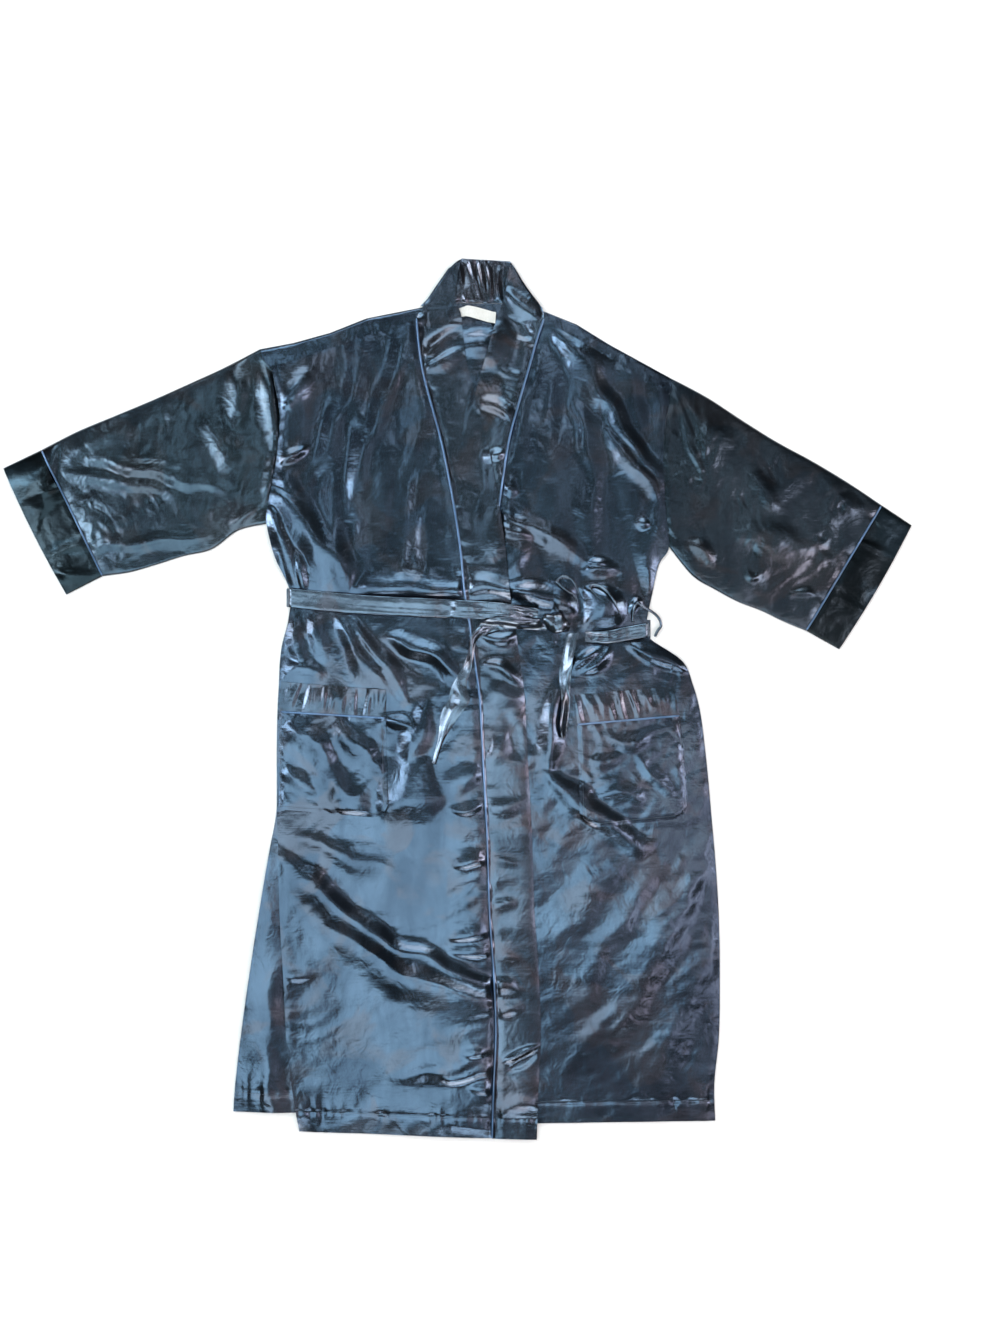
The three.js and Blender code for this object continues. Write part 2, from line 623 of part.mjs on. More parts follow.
// Rings of a flattened tube. Each ring is a row of places from the upper edge to the lower
// one, with the height of the inside of its upper cloth.
function tubeGeometry(rings) {
  const across = rings[0].length;
  const ringSize = 2 * across;
  const position = [];
  const inset = (ring, i) => {
    const [from, to] = [ring[0], ring[across - 1]];
    const wall = CLOTH / apart(from, to);
    const pull = i === 0 ? wall : (i === across - 1 ? -wall : 0);
    return [ring[i].x + (to.x - from.x) * pull, ring[i].y + (to.y - from.y) * pull];
  };
  for (const ring of rings) {
    ring.forEach((p) => position.push(p.x, p.y, 0));
    ring.toReversed().forEach((p) => position.push(p.x, p.y, p.inside + CLOTH));
  }
  for (const ring of rings) {
    ring.forEach((_, i) => {
      const [x, y] = inset(ring, i);
      position.push(x, y, CLOTH);
    });
    for (let i = across - 1; i >= 0; i -= 1) {
      const [x, y] = inset(ring, i);
      position.push(x, y, ring[i].inside);
    }
  }
  const inner = rings.length * ringSize;
  const index = [];
  const quad = (a, b, c, d) => index.push(a, b, c, a, c, d);
  for (let k = 0; k + 1 < rings.length; k += 1) {
    for (let r = 0; r < ringSize; r += 1) {
      const next = (r + 1) % ringSize;
      const [a, b] = [k * ringSize + r, k * ringSize + next];
      const [c, d] = [b + ringSize, a + ringSize];
      quad(a, b, c, d);
      quad(inner + a, inner + d, inner + c, inner + b);
    }
  }
  const last = (rings.length - 1) * ringSize;
  for (let r = 0; r < ringSize; r += 1) {
    const next = (r + 1) % ringSize;
    quad(r, inner + r, inner + next, next);
    quad(last + r, last + next, inner + last + next, inner + last + r);
  }
  return geometryOf(position, index);
}

// The rings of a sleeve or cuff. `bulge` holds how far each place of its first ring stands
// off the straight line between its ends: it fades out along the sleeve.
function tubeRings(table, steps, shares, bulge, start) {
  const upper = curveThrough(table.map((row) => row.upper));
  const lower = curveThrough(table.map((row) => row.lower));
  return Array.from({ length: steps + 1 }, (_, k) => {
    const along = mix(start, 1, k / steps) * (table.length - 1);
    const fade = (1 - k / steps) ** 2;
    return shares.map((share, i) => {
      const [x, y] = mixPoint(upper(along), lower(along), share);
      const place = [x + bulge[i][0] * fade, y + bulge[i][1] * fade];
      const inside = CLOTH + SLEEVE_HOLLOW + foldHeight(FOLDS_SLEEVES, place);
      return { x: place[0], y: place[1], inside };
    });
  });
}

function sleeveAndCuff(name, sleeveTable, cuffTable, armhole, outward) {
  const places = armhole.map(([x, y]) => [x + outward * GAP, y]);
  const [first, last] = [places[0], places[places.length - 1]];
  const total = (last[0] - first[0]) ** 2 + (last[1] - first[1]) ** 2;
  const shares = places.map(([x, y]) => (
    ((x - first[0]) * (last[0] - first[0]) + (y - first[1]) * (last[1] - first[1])) / total
  ));
  const table = sleeveTable.map((row, k) => (k === 0 ? { upper: first, lower: last } : row));
  const bulge = places.map(([x, y], i) => {
    const [cx, cy] = mixPoint(first, last, shares[i]);
    return [x - cx, y - cy];
  });
  const none = bulge.map(() => [0, 0]);
  const flip = (rings) => (outward > 0 ? rings.map((ring) => ring.toReversed()) : rings);
  const sleeve = tubeRings(table, 9, shares, bulge, 0);
  const [seamEnd, openEnd] = cuffTable.map((row) => row.upper);
  const cuffStart = GAP / Math.hypot(openEnd[0] - seamEnd[0], openEnd[1] - seamEnd[1]);
  const cuff = tubeRings(cuffTable, 2, shares, none, cuffStart);
  add(`sleeve_${name}`, tubeGeometry(flip(sleeve)), SATIN);
  add(`cuff_${name}`, tubeGeometry(flip(cuff)), SATIN_BAND);
  const seam = sleeve[sleeve.length - 1].map((p, i) => ({
    x: p.x, y: p.y, z: Math.max(p.inside, cuff[0][i].inside) + CLOTH + CUFF_PIPING_LIFT,
  }));
  const piping = pipingSheet(outward < 0 ? seam : seam.toReversed());
  add(`piping_cuff_${name}`, wallGeometry(piping), PIPING);
}

// ---- pockets, collar, label ---------------------------------------------------------------

// A patch on a front, given as shares of the way across and rows down: its points are the
// front's own, moved out. `pleat` adds the gathers of a pocket band.
function patchGrid(side, edge, across, rows, pleat = () => 0) {
  return rows.map((row) => across.map((share) => {
    const place = mixPoint(side(row), edge(row), share);
    const low = reliefNear(place, PATCH_REACH) + POCKET_LIFT - GAP + pleat(share);
    return { x: place[0], y: place[1], low, high: low + CLOTH };
  }));
}

// A pocket: its bag, its gathered band and the piping between the two.
function pocketPieces(side, edge, { from, to, rounded }, mirrored) {
  const spread = (count) => Array.from({ length: count + 1 }, (_, k) => mix(from, to, k / count));
  const turned = (grid) => (mirrored ? grid.map((line) => line.toReversed()) : grid);
  const across = spread(POCKET_COLUMNS);
  const foot = (i, j) => {
    const last = j === POCKET_BAG_ROWS.length - 2;
    const left = last && i === 0 && rounded.includes('left');
    const right = last && i === POCKET_COLUMNS - 1 && rounded.includes('right');
    return left ? 'footLeft' : right && 'footRight';
  };
  const bag = sheetOf(turned(patchGrid(side, edge, across, POCKET_BAG_ROWS)), foot);
  const wave = (share) => {
    const turn = ((share - from) / (to - from)) * POCKET_PLEATS;
    return PLEAT_HIGH * (0.5 - 0.5 * Math.cos(2 * Math.PI * turn));
  };
  const gathered = patchGrid(side, edge, spread(POCKET_PLEATS * 4), POCKET_BAND_ROWS, wave);
  const band = sheetOf(turned(gathered));
  lay(bag);
  lay(band);
  const seam = across.map((share) => {
    const [x, y] = mixPoint(side(POCKET_SEAM_ROW), edge(POCKET_SEAM_ROW), share);
    return { x, y, z: reliefNear([x, y], PATCH_REACH) };
  });
  const piping = pipingSheet(mirrored ? seam.toReversed() : seam);
  lay(piping);
  return { bag, band, piping };
}

// The collar: a band with upright pleats, on the surface behind the neck.
function collarSheet() {
  const right = curveThrough(COLLAR.map((row) => row.right));
  const left = curveThrough(COLLAR.map((row) => row.left));
  const columns = COLLAR_PLEATS * 4;
  const foot = COLLAR.length - 1;
  const grid = COLLAR.map((_, row) => Array.from({ length: columns + 1 }, (__, k) => {
    const u = k / columns;
    const [x, y] = mixPoint(right(row), left(row), u);
    const down = row / foot;
    const chord = mix(COLLAR[foot].right[1], COLLAR[foot].left[1], u);
    const open = Math.sin(Math.PI * u) ** 2;
    const wave = 0.5 - 0.5 * Math.cos(2 * Math.PI * COLLAR_PLEATS * u);
    const pleat = open * COLLAR_PLEAT_HIGH * wave;
    const seam = Math.max(heightAt(TOP_EDGE, x), chord);
    const curved = mix(y, seam + COLLAR_SEAM_RISE * (1 - down), down ** 2);
    return { x, y: row === foot ? seam + GAP : curved, low: pleat, high: pleat + CLOTH };
  }));
  return sheetOf(grid);
}

function labelSheet() {
  const corners = LABEL.flatMap((row) => [row.top, row.bottom]);
  const level = Math.max(...corners.map((place) => reliefNear(place, LABEL_REACH)));
  const grid = ['top', 'bottom'].map((edge) => LABEL.map((row) => (
    { x: row[edge][0], y: row[edge][1], low: level, high: level + LABEL_WALL }
  )));
  return sheetOf(grid);
}

// ---- belt ---------------------------------------------------------------------------------

// A strip of belt along a middle line, resting on the cloth under it. Its end at the side of
// the garment turns down to the run under the back.
function beltSheet(line, width, steps, outward) {
  const along = curveThrough(line);
  const rows = Array.from({ length: steps + 1 }, (_, k) => (k / steps) * (line.length - 1));
  const shares = [0.5, 0, -0.5];
  const stations = rows.map((row) => {
    const [x, y] = along(row);
    const low = Math.max(...shares.map((share) => reliefNear([x, y + share * width], BELT_REACH)));
    return { x, y, low, high: low + BELT_WALL };
  });
  const side = outward < 0 ? stations[0] : stations[stations.length - 1];
  const turned = [BELT_TURN, BELT_TURN + BELT_WALL].map((past) => (
    { ...side, x: side.x + outward * past, low: BELT_WALL + GAP }
  ));
  const whole = outward < 0 ? [...turned.toReversed(), ...stations] : [...stations, ...turned];
  return sheetOf(shares.map((share) => whole.map((p) => ({ ...p, y: p.y + share * width }))));
}

// A free end of the belt, from its sections across.
function tailSheet(table) {
  const left = curveThrough(table.map((row) => row.left));
  const right = curveThrough(table.map((row) => row.right));
  const steps = (table.length - 1) * 2;
  const grid = Array.from({ length: steps + 1 }, (_, k) => {
    const row = (k / steps) * (table.length - 1);
    const ends = [left(row), right(row)];
    const low = Math.max(...ends.map((place) => reliefNear(place, TAIL_REACH)));
    return ends.map(([x, y]) => ({ x, y, low, high: low + BELT_WALL }));
  });
  return sheetOf(grid);
}

// The knot: a flattened bean, wrapped round by one turn of the belt.
function knotGeometry() {
  const shape = new THREE.SphereGeometry(1, 16, 10);
  const level = reliefNear([KNOT.x, KNOT.y], KNOT.long / 2 + RELIEF_CELL);
  const spots = shape.getAttribute('position');
  const turn = new THREE.Matrix4().makeRotationZ(KNOT.turn);
  const place = new THREE.Vector3();
  for (let k = 0; k < spots.count; k += 1) {
    place.fromBufferAttribute(spots, k);
    const groove = 1 - KNOT.groove * bell(place.x - KNOT.grooveAt, KNOT.grooveWide);
    const rise = (Math.max(place.z, -KNOT.flat) + KNOT.flat) / (1 + KNOT.flat);
    place.set((place.x * KNOT.long) / 2, (place.y * KNOT.wide * groove) / 2, rise * KNOT.high * groove);
    place.applyMatrix4(turn);
    spots.setXYZ(k, place.x + KNOT.x, place.y + KNOT.y, place.z + level);
  }
  return shape;
}

// The belt loop: a narrow tape on its way round from the side seam and back under the belt.
function loopSheet() {
  const along = curveThrough(LOOP_LINE);
  const steps = (LOOP_LINE.length - 1) * 2;
  const grid = Array.from({ length: steps + 1 }, (_, k) => {
    const row = (k / steps) * (LOOP_LINE.length - 1);
    const [x, y] = along(row);
    const [ax, ay] = along(Math.max(row - 0.2, 0));
    const [bx, by] = along(Math.min(row + 0.2, LOOP_LINE.length - 1));
    const length = Math.hypot(bx - ax, by - ay);
    const level = reliefNear([x, y], LOOP_REACH, CLOTH + GAP);
    return [-0.5, 0.5].map((side) => ({
      x: x - ((by - ay) / length) * side * LOOP_WIDTH,
      y: y + ((bx - ax) / length) * side * LOOP_WIDTH,
      low: level,
      high: level + LOOP_WALL,
    }));
  });
  return sheetOf(grid);
}

// ---- laying the robe ----------------------------------------------------------------------

function layAndAdd(name, sheet, finish) {
  add(name, wallGeometry(sheet), finish);
  lay(sheet);
}

// Puts a front, its band and the piping between them down, and then its pocket.
function layFront(name, side, edge, { front, band, pocket, mirrored }) {
  layAndAdd(`front_${name}`, front, SATIN);
  layAndAdd(`band_${name}`, band, SATIN_BAND);
  const line = BODY_ROWS.map((row) => {
    const [x, y] = edge(row);
    return { x, y, z: reliefNear([x, y], PIPING_REACH) };
  });
  layAndAdd(`piping_front_${name}`, pipingSheet(line.toReversed()), PIPING);
  const { bag, band: pocketBand, piping } = pocketPieces(side, edge, pocket, mirrored);
  add(`pocket_${name}`, wallGeometry(bag), SATIN);
  add(`pocket_band_${name}`, wallGeometry(pocketBand), SATIN_BAND);
  add(`piping_pocket_${name}`, wallGeometry(piping), PIPING);
}

layAndAdd('belt_back', beltBackSheet(), SATIN);
layAndAdd('back', backSheet(), SATIN);
layAndAdd('collar', collarSheet(), SATIN_BAND);

const armholeRight = [TOP_EDGE[0], ...ARMHOLE_ROWS.map(seamRight)];
const armholeLeft = [TOP_EDGE[TOP_EDGE.length - 1], ...ARMHOLE_ROWS.map(seamLeft)];
sleeveAndCuff('right', SLEEVE_RIGHT, CUFF_RIGHT, armholeRight, -1);
sleeveAndCuff('left', SLEEVE_LEFT, CUFF_LEFT, armholeLeft, 1);

const underBandRows = BODY_ROWS.filter((row) => row <= BELT_ROW || Number.isInteger(row));
layFront('left', seamLeft, underEdge, {
  front: frontSheet(seamLeft, underEdge, [POCKETS.left.from, POCKETS.left.to], FOLDS_UNDER, true),
  band: bandSheet(underEdge, underBandRows, FOLDS_UNDER, -1, BAND_TOP_LEFT, true),
  pocket: POCKETS.left,
  mirrored: true,
});
layAndAdd('label', labelSheet(), TAB);
layFront('right', ventEdge, overEdge, {
  front: frontSheet(ventEdge, overEdge, [POCKETS.right.to], FOLDS_OVER, false),
  band: bandSheet(overEdge, BODY_ROWS, FOLDS_BAND, 1, BAND_TOP_RIGHT, false),
  pocket: POCKETS.right,
  mirrored: false,
});

layAndAdd('belt_tail_right', tailSheet(TAIL_RIGHT), SATIN);
layAndAdd('belt_tail_left', tailSheet(TAIL_LEFT), SATIN);
layAndAdd('belt_loop', loopSheet(), SATIN);
layAndAdd('belt_front_right', beltSheet(BELT_RIGHT_LINE, BELT_WIDTH, 14, -1), SATIN);
layAndAdd('belt_front_left', beltSheet(BELT_LEFT_LINE, BELT_SIDE_WIDTH, 5, 1), SATIN);
add('belt_knot', knotGeometry(), SATIN);

export default robe;
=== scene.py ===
"""A satin robe laid flat on its back: its cloth, folds, sewing and finish.

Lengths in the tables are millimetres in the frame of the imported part: +X towards the wearer's
left, +Y towards the collar and +Z up from the surface that the robe lies on. Meshes are in
metres. Every piece of cloth is a height over the plan that it was cut and laid to, worked out
from what lies under it, its folds, its crumpling and the puckers of its seams.
"""

from __future__ import annotations

import functools
import logging
from dataclasses import dataclass, field
from enum import Enum
from typing import Any, Iterable, Sequence

import bpy
import numpy as np
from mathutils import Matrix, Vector

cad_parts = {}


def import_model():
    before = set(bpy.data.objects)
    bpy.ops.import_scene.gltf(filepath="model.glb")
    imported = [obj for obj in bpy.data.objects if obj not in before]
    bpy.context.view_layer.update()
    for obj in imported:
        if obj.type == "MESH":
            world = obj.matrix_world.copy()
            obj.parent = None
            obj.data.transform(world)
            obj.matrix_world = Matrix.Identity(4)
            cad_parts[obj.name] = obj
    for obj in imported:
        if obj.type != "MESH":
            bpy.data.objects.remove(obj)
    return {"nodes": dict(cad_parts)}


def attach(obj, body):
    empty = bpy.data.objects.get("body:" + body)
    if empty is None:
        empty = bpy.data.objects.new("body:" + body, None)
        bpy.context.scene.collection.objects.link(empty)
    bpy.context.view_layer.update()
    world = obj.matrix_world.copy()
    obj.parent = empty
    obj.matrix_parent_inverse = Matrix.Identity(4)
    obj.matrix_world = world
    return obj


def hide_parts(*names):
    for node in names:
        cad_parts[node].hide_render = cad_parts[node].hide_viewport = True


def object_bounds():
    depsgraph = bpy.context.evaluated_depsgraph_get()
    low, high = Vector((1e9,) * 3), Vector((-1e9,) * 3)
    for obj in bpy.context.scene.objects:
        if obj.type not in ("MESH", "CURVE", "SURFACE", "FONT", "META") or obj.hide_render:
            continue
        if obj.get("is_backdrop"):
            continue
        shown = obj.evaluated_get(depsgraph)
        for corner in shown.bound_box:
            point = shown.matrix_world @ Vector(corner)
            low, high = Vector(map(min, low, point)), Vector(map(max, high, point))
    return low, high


log = logging.getLogger("robe")

MM = 0.001
BODY = "root"
Array = np.ndarray
Point = tuple[float, float]


# ---- curves and noise ---------------------------------------------------------------------


class Curve:
    """A smooth curve through points, read at row numbers from 0 to the last point's."""

    FINE = 1200

    def __init__(self, points: Sequence[Point]) -> None:
        """Keeps the points, and at each a slope of half the step from its neighbour before
        to its neighbour after.

        Args:
            points: The places that the curve passes through, in order.
        """
        self.points = np.asarray(points, float)
        ends = np.vstack([self.points[:1], self.points, self.points[-1:]])
        self.slopes = (ends[2:] - ends[:-2]) / 2
        self.last = len(self.points) - 1

    def at(self, rows: Array | float) -> Array:
        """Places on the curve, by the cubic that meets both ends and both slopes.

        Args:
            rows: Row numbers, of any shape.

        Returns:
            One place for each row number, in a last axis of their own.
        """
        rows = np.asarray(rows, float)
        k = np.clip(np.floor(rows).astype(int), 0, self.last - 1)
        t = (rows - k)[..., None]
        a, b = self.points[k], self.points[k + 1]
        u, v = self.slopes[k], self.slopes[k + 1]
        rise = (2 * t**3 - 3 * t**2 + 1) * a + (3 * t**2 - 2 * t**3) * b
        return rise + (t**3 - 2 * t**2 + t) * u + (t**3 - t**2) * v

    def even_rows(self, first: float, last: float, step: float) -> Array:
        """Row numbers that are equally far apart along the curve.

        Args:
            first: The first row number.
            last: The last row number.
            step: The largest distance between two of them, in millimetres.

        Returns:
            The row numbers.
        """
        fine = np.linspace(first, last, self.FINE)
        along = _running(np.linalg.norm(np.diff(self.at(fine), axis=0), axis=1))
        count = int(np.ceil(along[-1] / step))
        return np.interp(np.linspace(0, along[-1], count + 1), along, fine)


def height_at(line: Sequence[Point], x: Array) -> Array:
    """The height of a line of points at x. The points run in the direction of +X."""
    points = np.asarray(line, float)
    return np.interp(x, points[:, 0], points[:, 1])


class Noise:
    """Smooth seeded noise: slopes on a square lattice, blended by a fifth-order step."""

    SIDE = 256

    def __init__(self, seed: int) -> None:
        """Draws the lattice's slopes."""
        turn = np.random.default_rng(seed).uniform(0, 2 * np.pi, (self.SIDE, self.SIDE))
        self.slope = np.stack([np.cos(turn), np.sin(turn)], axis=-1)

    def at(self, x: Array, y: Array | float) -> Array:
        """The noise at places given in lattice cells.

        Args:
            x: Places along the first axis.
            y: Places along the second axis.

        Returns:
            Values from about -1 to 1.
        """
        i, j = np.floor(x).astype(int), np.floor(y).astype(int)
        fx, fy = x - i, y - j
        total = np.zeros(np.broadcast(x, y).shape)
        for di in (0, 1):
            for dj in (0, 1):
                slope = self.slope[(i + di) % self.SIDE, (j + dj) % self.SIDE]
                pull = slope[..., 0] * (fx - di) + slope[..., 1] * (fy - dj)
                wx = _ease(1 - np.abs(fx - di))
                wy = _ease(1 - np.abs(fy - dj))
                total = total + pull * wx * wy
        return total * 1.5

    def along(self, x: Array, y: Array, turn: float, long: float, short: float) -> Array:
        """Noise stretched along one direction.

        Args:
            x: Places in millimetres.
            y: Places in millimetres.
            turn: The direction of the long axis, in degrees from +X.
            long: The size of a wrinkle along that direction.
            short: Its size across it.

        Returns:
            Values from about -1 to 1.
        """
        c, s = np.cos(np.radians(turn)), np.sin(np.radians(turn))
        return self.at((x * c + y * s) / long, (-x * s + y * c) / short)


def _ease(t: Array) -> Array:
    """A step from 0 to 1 that is level at both ends."""
    return t**3 * (t * (6 * t - 15) + 10)


def _rise(t: Array) -> Array:
    """A smooth step: 0 up to t = 0, and 1 from t = 1 on."""
    return _ease(np.clip(t, 0, 1))


def _bell(distance: Array, wide: float | Array) -> Array:
    """One at no distance, falling off smoothly over `wide`."""
    return np.exp(-((distance / wide) ** 2))


def _arch(off: Array, power: float) -> Array:
    """A rounded top: the root of 1 - |off| ** power, from 1 in the middle to 0 at off = 1."""
    return np.sqrt(np.clip(1 - np.abs(off) ** power, 0, 1))


def _ridged(wave: Array, high: float, steep: float, soft: float) -> Array:
    """Sharp crests over soft valleys: high - steep * the root of (wave ** 2 + soft)."""
    return high - steep * np.sqrt(wave**2 + soft)


def _running(steps: Array) -> Array:
    """The running total of steps, from 0."""
    return np.concatenate([[0], np.cumsum(steps)])


def _smoothed(values: Array, reach: int) -> Array:
    """Values in a row, each the mean of itself and `reach` neighbours on either side."""
    span = 2 * reach + 1
    return np.convolve(np.pad(values, reach, "edge"), np.ones(span) / span, "valid")


def _between(first: Array, last: Array, shares: Array) -> Array:
    """Rows of places, at shares of the way from each row's first place to its last."""
    return first[:, None] + (last - first)[:, None] * shares[None, :, None]


# ---- folds --------------------------------------------------------------------------------


@dataclass(frozen=True)
class Fold:
    """A crease of cloth along a curve, a trough where `high` is negative.

    Its profile is exp(-(|d| / wide) ** keen) of the distance d from its crest line, where wide
    is divided by `steep` on the right-hand side of the way along it. Along that line the fold
    fades in and out as a power of the sine of a half wave, and is half as wide at its ends.
    """

    start: Point
    bend: Point
    end: Point
    high: float
    wide: float
    steep: float = 1.0
    keen: float = 2.0

    STEPS = 20
    REACH = 2.6
    FIRST_TURN = 0.03
    FADE_POWER = 0.7

    def height(self, x: Array, y: Array) -> Array:
        """The fold's own height at places, from the nearest point of its crest line.

        Args:
            x: Places across.
            y: Places up.

        Returns:
            Heights in millimetres.
        """
        out = np.zeros(x.shape)
        t = np.linspace(0, 1, self.STEPS + 1)[:, None]
        a, b, c = (np.asarray(p, float) for p in (self.start, self.bend, self.end))
        line = (1 - t) ** 2 * a + 2 * t * (1 - t) * b + t**2 * c
        reach = self.REACH * self.wide / min(self.steep, 1.0)
        low, top = line.min(0) - reach, line.max(0) + reach
        near = (x > low[0]) & (x < top[0]) & (y > low[1]) & (y < top[1])
        if not near.any():
            return out
        px, py = x[near], y[near]
        best = np.full(px.shape, 1e9)
        fade = np.zeros(px.shape)
        side = np.zeros(px.shape)
        for k in range(self.STEPS):
            (ax, ay), (dx, dy) = line[k], line[k + 1] - line[k]
            share = ((px - ax) * dx + (py - ay) * dy) / (dx * dx + dy * dy)
            inside = np.clip(share, 0, 1)
            gap = np.hypot(px - ax - inside * dx, py - ay - inside * dy)
            closer = gap < best
            best = np.where(closer, gap, best)
            turn = self.FIRST_TURN + (1 - 2 * self.FIRST_TURN) * (k + inside) / self.STEPS
            fade = np.where(closer, np.sin(np.pi * turn) ** self.FADE_POWER, fade)
            side = np.where(closer, np.sign((px - ax) * dy - (py - ay) * dx), side)
        wide = np.where(side > 0, self.wide / self.steep, self.wide) * (0.5 + 0.5 * fade)
        out[near] = self.high * fade * np.exp(-((best / wide) ** self.keen))
        return out


MEANDER = 52.0
SWAY = 0.6
WIDEST_SWAY = 18.0


def fold_relief(folds: Iterable[Fold], x: Array, y: Array) -> Array:
    """The height that folds give: the highest ridge at each place plus the deepest trough.

    Their crest lines wander by smooth noise, a wide fold's no further than a middling one's.

    Args:
        folds: The folds.
        x: Places across.
        y: Places up.

    Returns:
        Heights in millimetres.
    """
    ridge, trough = np.zeros(x.shape), np.zeros(x.shape)
    noise = Noise(7)
    drift = noise.at(x / MEANDER, y / MEANDER), noise.at(x / MEANDER + 90, y / MEANDER)
    for fold in folds:
        sway = SWAY * min(fold.wide, WIDEST_SWAY)
        height = fold.height(x + drift[0] * sway, y + drift[1] * sway)
        if fold.high > 0:
            ridge = np.maximum(ridge, height)
        else:
            trough = np.minimum(trough, height)
    return ridge + trough


@dataclass(frozen=True)
class Crumple:
    """Irregular wrinkles of one direction and size."""

    seed: int
    turn: float
    long: float
    short: float
    high: float
    ridged: bool = False

    def height(self, x: Array, y: Array) -> Array:
        """Wrinkle height at places; ridged ones have sharp crests and soft valleys."""
        bent = Noise(self.seed + 50).along(x, y, self.turn, 2.2 * self.long, 2.2 * self.long)
        shift = bent * self.short * 0.9
        wave = Noise(self.seed).along(x + shift, y - shift, self.turn, self.long, self.short)
        if self.ridged:
            wave = _ridged(wave, 0.55, 1.7, 0.02)
        return self.high * wave


def crumple_relief(crumples: Iterable[Crumple], x: Array, y: Array) -> Array:
    """The summed height of wrinkles at places."""
    return sum((c.height(x, y) for c in crumples), np.zeros(x.shape))


@dataclass(frozen=True)
class Puckers:
    """Short gathers that stand square to a seam and die away from it."""

    seed: int
    pitch: float = 12.0
    reach: float = 12.0
    high: float = 1.3

    def height(self, away: Array, along: Array) -> Array:
        """Pucker height.

        Args:
            away: Distance from the seam.
            along: Length along the seam.

        Returns:
            Heights, from crests that each have their own length and strength.
        """
        noise = Noise(self.seed)
        drift = 0.12 * away / self.reach
        wave = noise.at(along / self.pitch, drift + 3.5)
        crest = _ridged(wave, 0.5, 1.6, 0.01)
        strength = 0.9 + 0.8 * noise.at(along / (2.3 * self.pitch) + 40, 9.5)
        length = self.reach * (1 + 1.1 * noise.at(along / (1.7 * self.pitch), 21.5))
        fade = np.exp(-np.abs(away) / np.maximum(length, 3))
        return self.high * np.clip(strength, 0.3, 2) * fade * crest


# ---- the relief of what is laid already ---------------------------------------------------


class Relief:
    """How high the cloth laid so far reaches, on a raster of square cells."""

    CELL = 2.0
    HALF_X = 640.0
    HALF_Y = 620.0

    def __init__(self) -> None:
        """Starts with the bare surface."""
        across = int(2 * self.HALF_X / self.CELL)
        down = int(2 * self.HALF_Y / self.CELL)
        self.top = np.zeros((down, across))

    def lay(self, x: Array, y: Array, z: Array) -> None:
        """Raises the raster to a grid's top, read at four times its own density."""
        fine = [self._finer(self._finer(a)) for a in (x, y, z)]
        i = ((fine[0] + self.HALF_X) / self.CELL).astype(int)
        j = ((fine[1] + self.HALF_Y) / self.CELL).astype(int)
        np.maximum.at(self.top, (j, i), fine[2])

    @staticmethod
    def _finer(grid: Array) -> Array:
        """A grid with the middles of its steps put in."""
        rows = np.empty((2 * grid.shape[0] - 1, grid.shape[1]))
        rows[::2], rows[1::2] = grid, (grid[1:] + grid[:-1]) / 2
        both = np.empty((rows.shape[0], 2 * rows.shape[1] - 1))
        both[:, ::2], both[:, 1::2] = rows, (rows[:, 1:] + rows[:, :-1]) / 2
        return both

    def under(self, x: Array, y: Array, reach: float) -> Array:
        """What cloth laid at places would rest on.

        The raster is widened by `reach` and then averaged over no more than that, so the
        result is smooth and nowhere lower than what lies there.

        Args:
            x: Places in millimetres.
            y: Places in millimetres.
            reach: How far off a step in the cloth below makes itself felt.

        Returns:
            Heights in millimetres.
        """
        cells = max(1, int(round(reach / self.CELL)))
        wide = self.top
        for axis in (0, 1):
            shifted = [np.roll(wide, k, axis) for k in range(-cells, cells + 1)]
            wide = np.max(shifted, axis=0)
        for span in (cells // 2, cells - cells // 2):
            for axis in (0, 1):
                shifted = [np.roll(wide, k, axis) for k in range(-span, span + 1)]
                wide = np.mean(shifted, axis=0)
        return self._read(wide, x, y)

    def _read(self, raster: Array, x: Array, y: Array) -> Array:
        """A raster's values at places, blended from the four nearest cells."""
        fx = np.clip((x + self.HALF_X) / self.CELL - 0.5, 0, raster.shape[1] - 2)
        fy = np.clip((y + self.HALF_Y) / self.CELL - 0.5, 0, raster.shape[0] - 2)
        i, j = fx.astype(int), fy.astype(int)
        u, v = fx - i, fy - j
        low = raster[j, i] * (1 - u) + raster[j, i + 1] * u
        top = raster[j + 1, i] * (1 - u) + raster[j + 1, i + 1] * u
        return low * (1 - v) + top * v


# ---- materials ----------------------------------------------------------------------------


class Value:
    """A shader socket that carries a number, with arithmetic."""

    def __init__(self, graph: "Graph", socket: bpy.types.NodeSocket) -> None:
        """Wraps a socket of a graph."""
        self.graph = graph
        self.socket = socket

    def math(self, operation: str, *inputs: Any) -> "Value":
        """Adds a Math node of the given inputs."""
        numbered = dict(enumerate(inputs))
        node = self.graph.node("ShaderNodeMath", {"operation": operation}, numbered)
        return Value(self.graph, node.outputs[0])

    def __add__(self, other: Any) -> "Value":
        """Sum."""
        return self.math("ADD", self, other)

    __radd__ = __add__

    def __mul__(self, other: Any) -> "Value":
        """Product."""
        return self.math("MULTIPLY", self, other)

    __rmul__ = __mul__

    def __sub__(self, other: Any) -> "Value":
        """Difference."""
        return self.math("SUBTRACT", self, other)

    def __rsub__(self, other: Any) -> "Value":
        """Reflected difference."""
        return self.math("SUBTRACT", other, self)

    def step(self, low: float, high: float) -> "Value":
        """A smooth step from 0 at `low` to 1 at `high`."""
        node = self.graph.node(
            "ShaderNodeMapRange",
            {"interpolation_type": "SMOOTHSTEP"},
            {"Value": self, "From Min": low, "From Max": high},
        )
        return Value(self.graph, node.outputs[0])


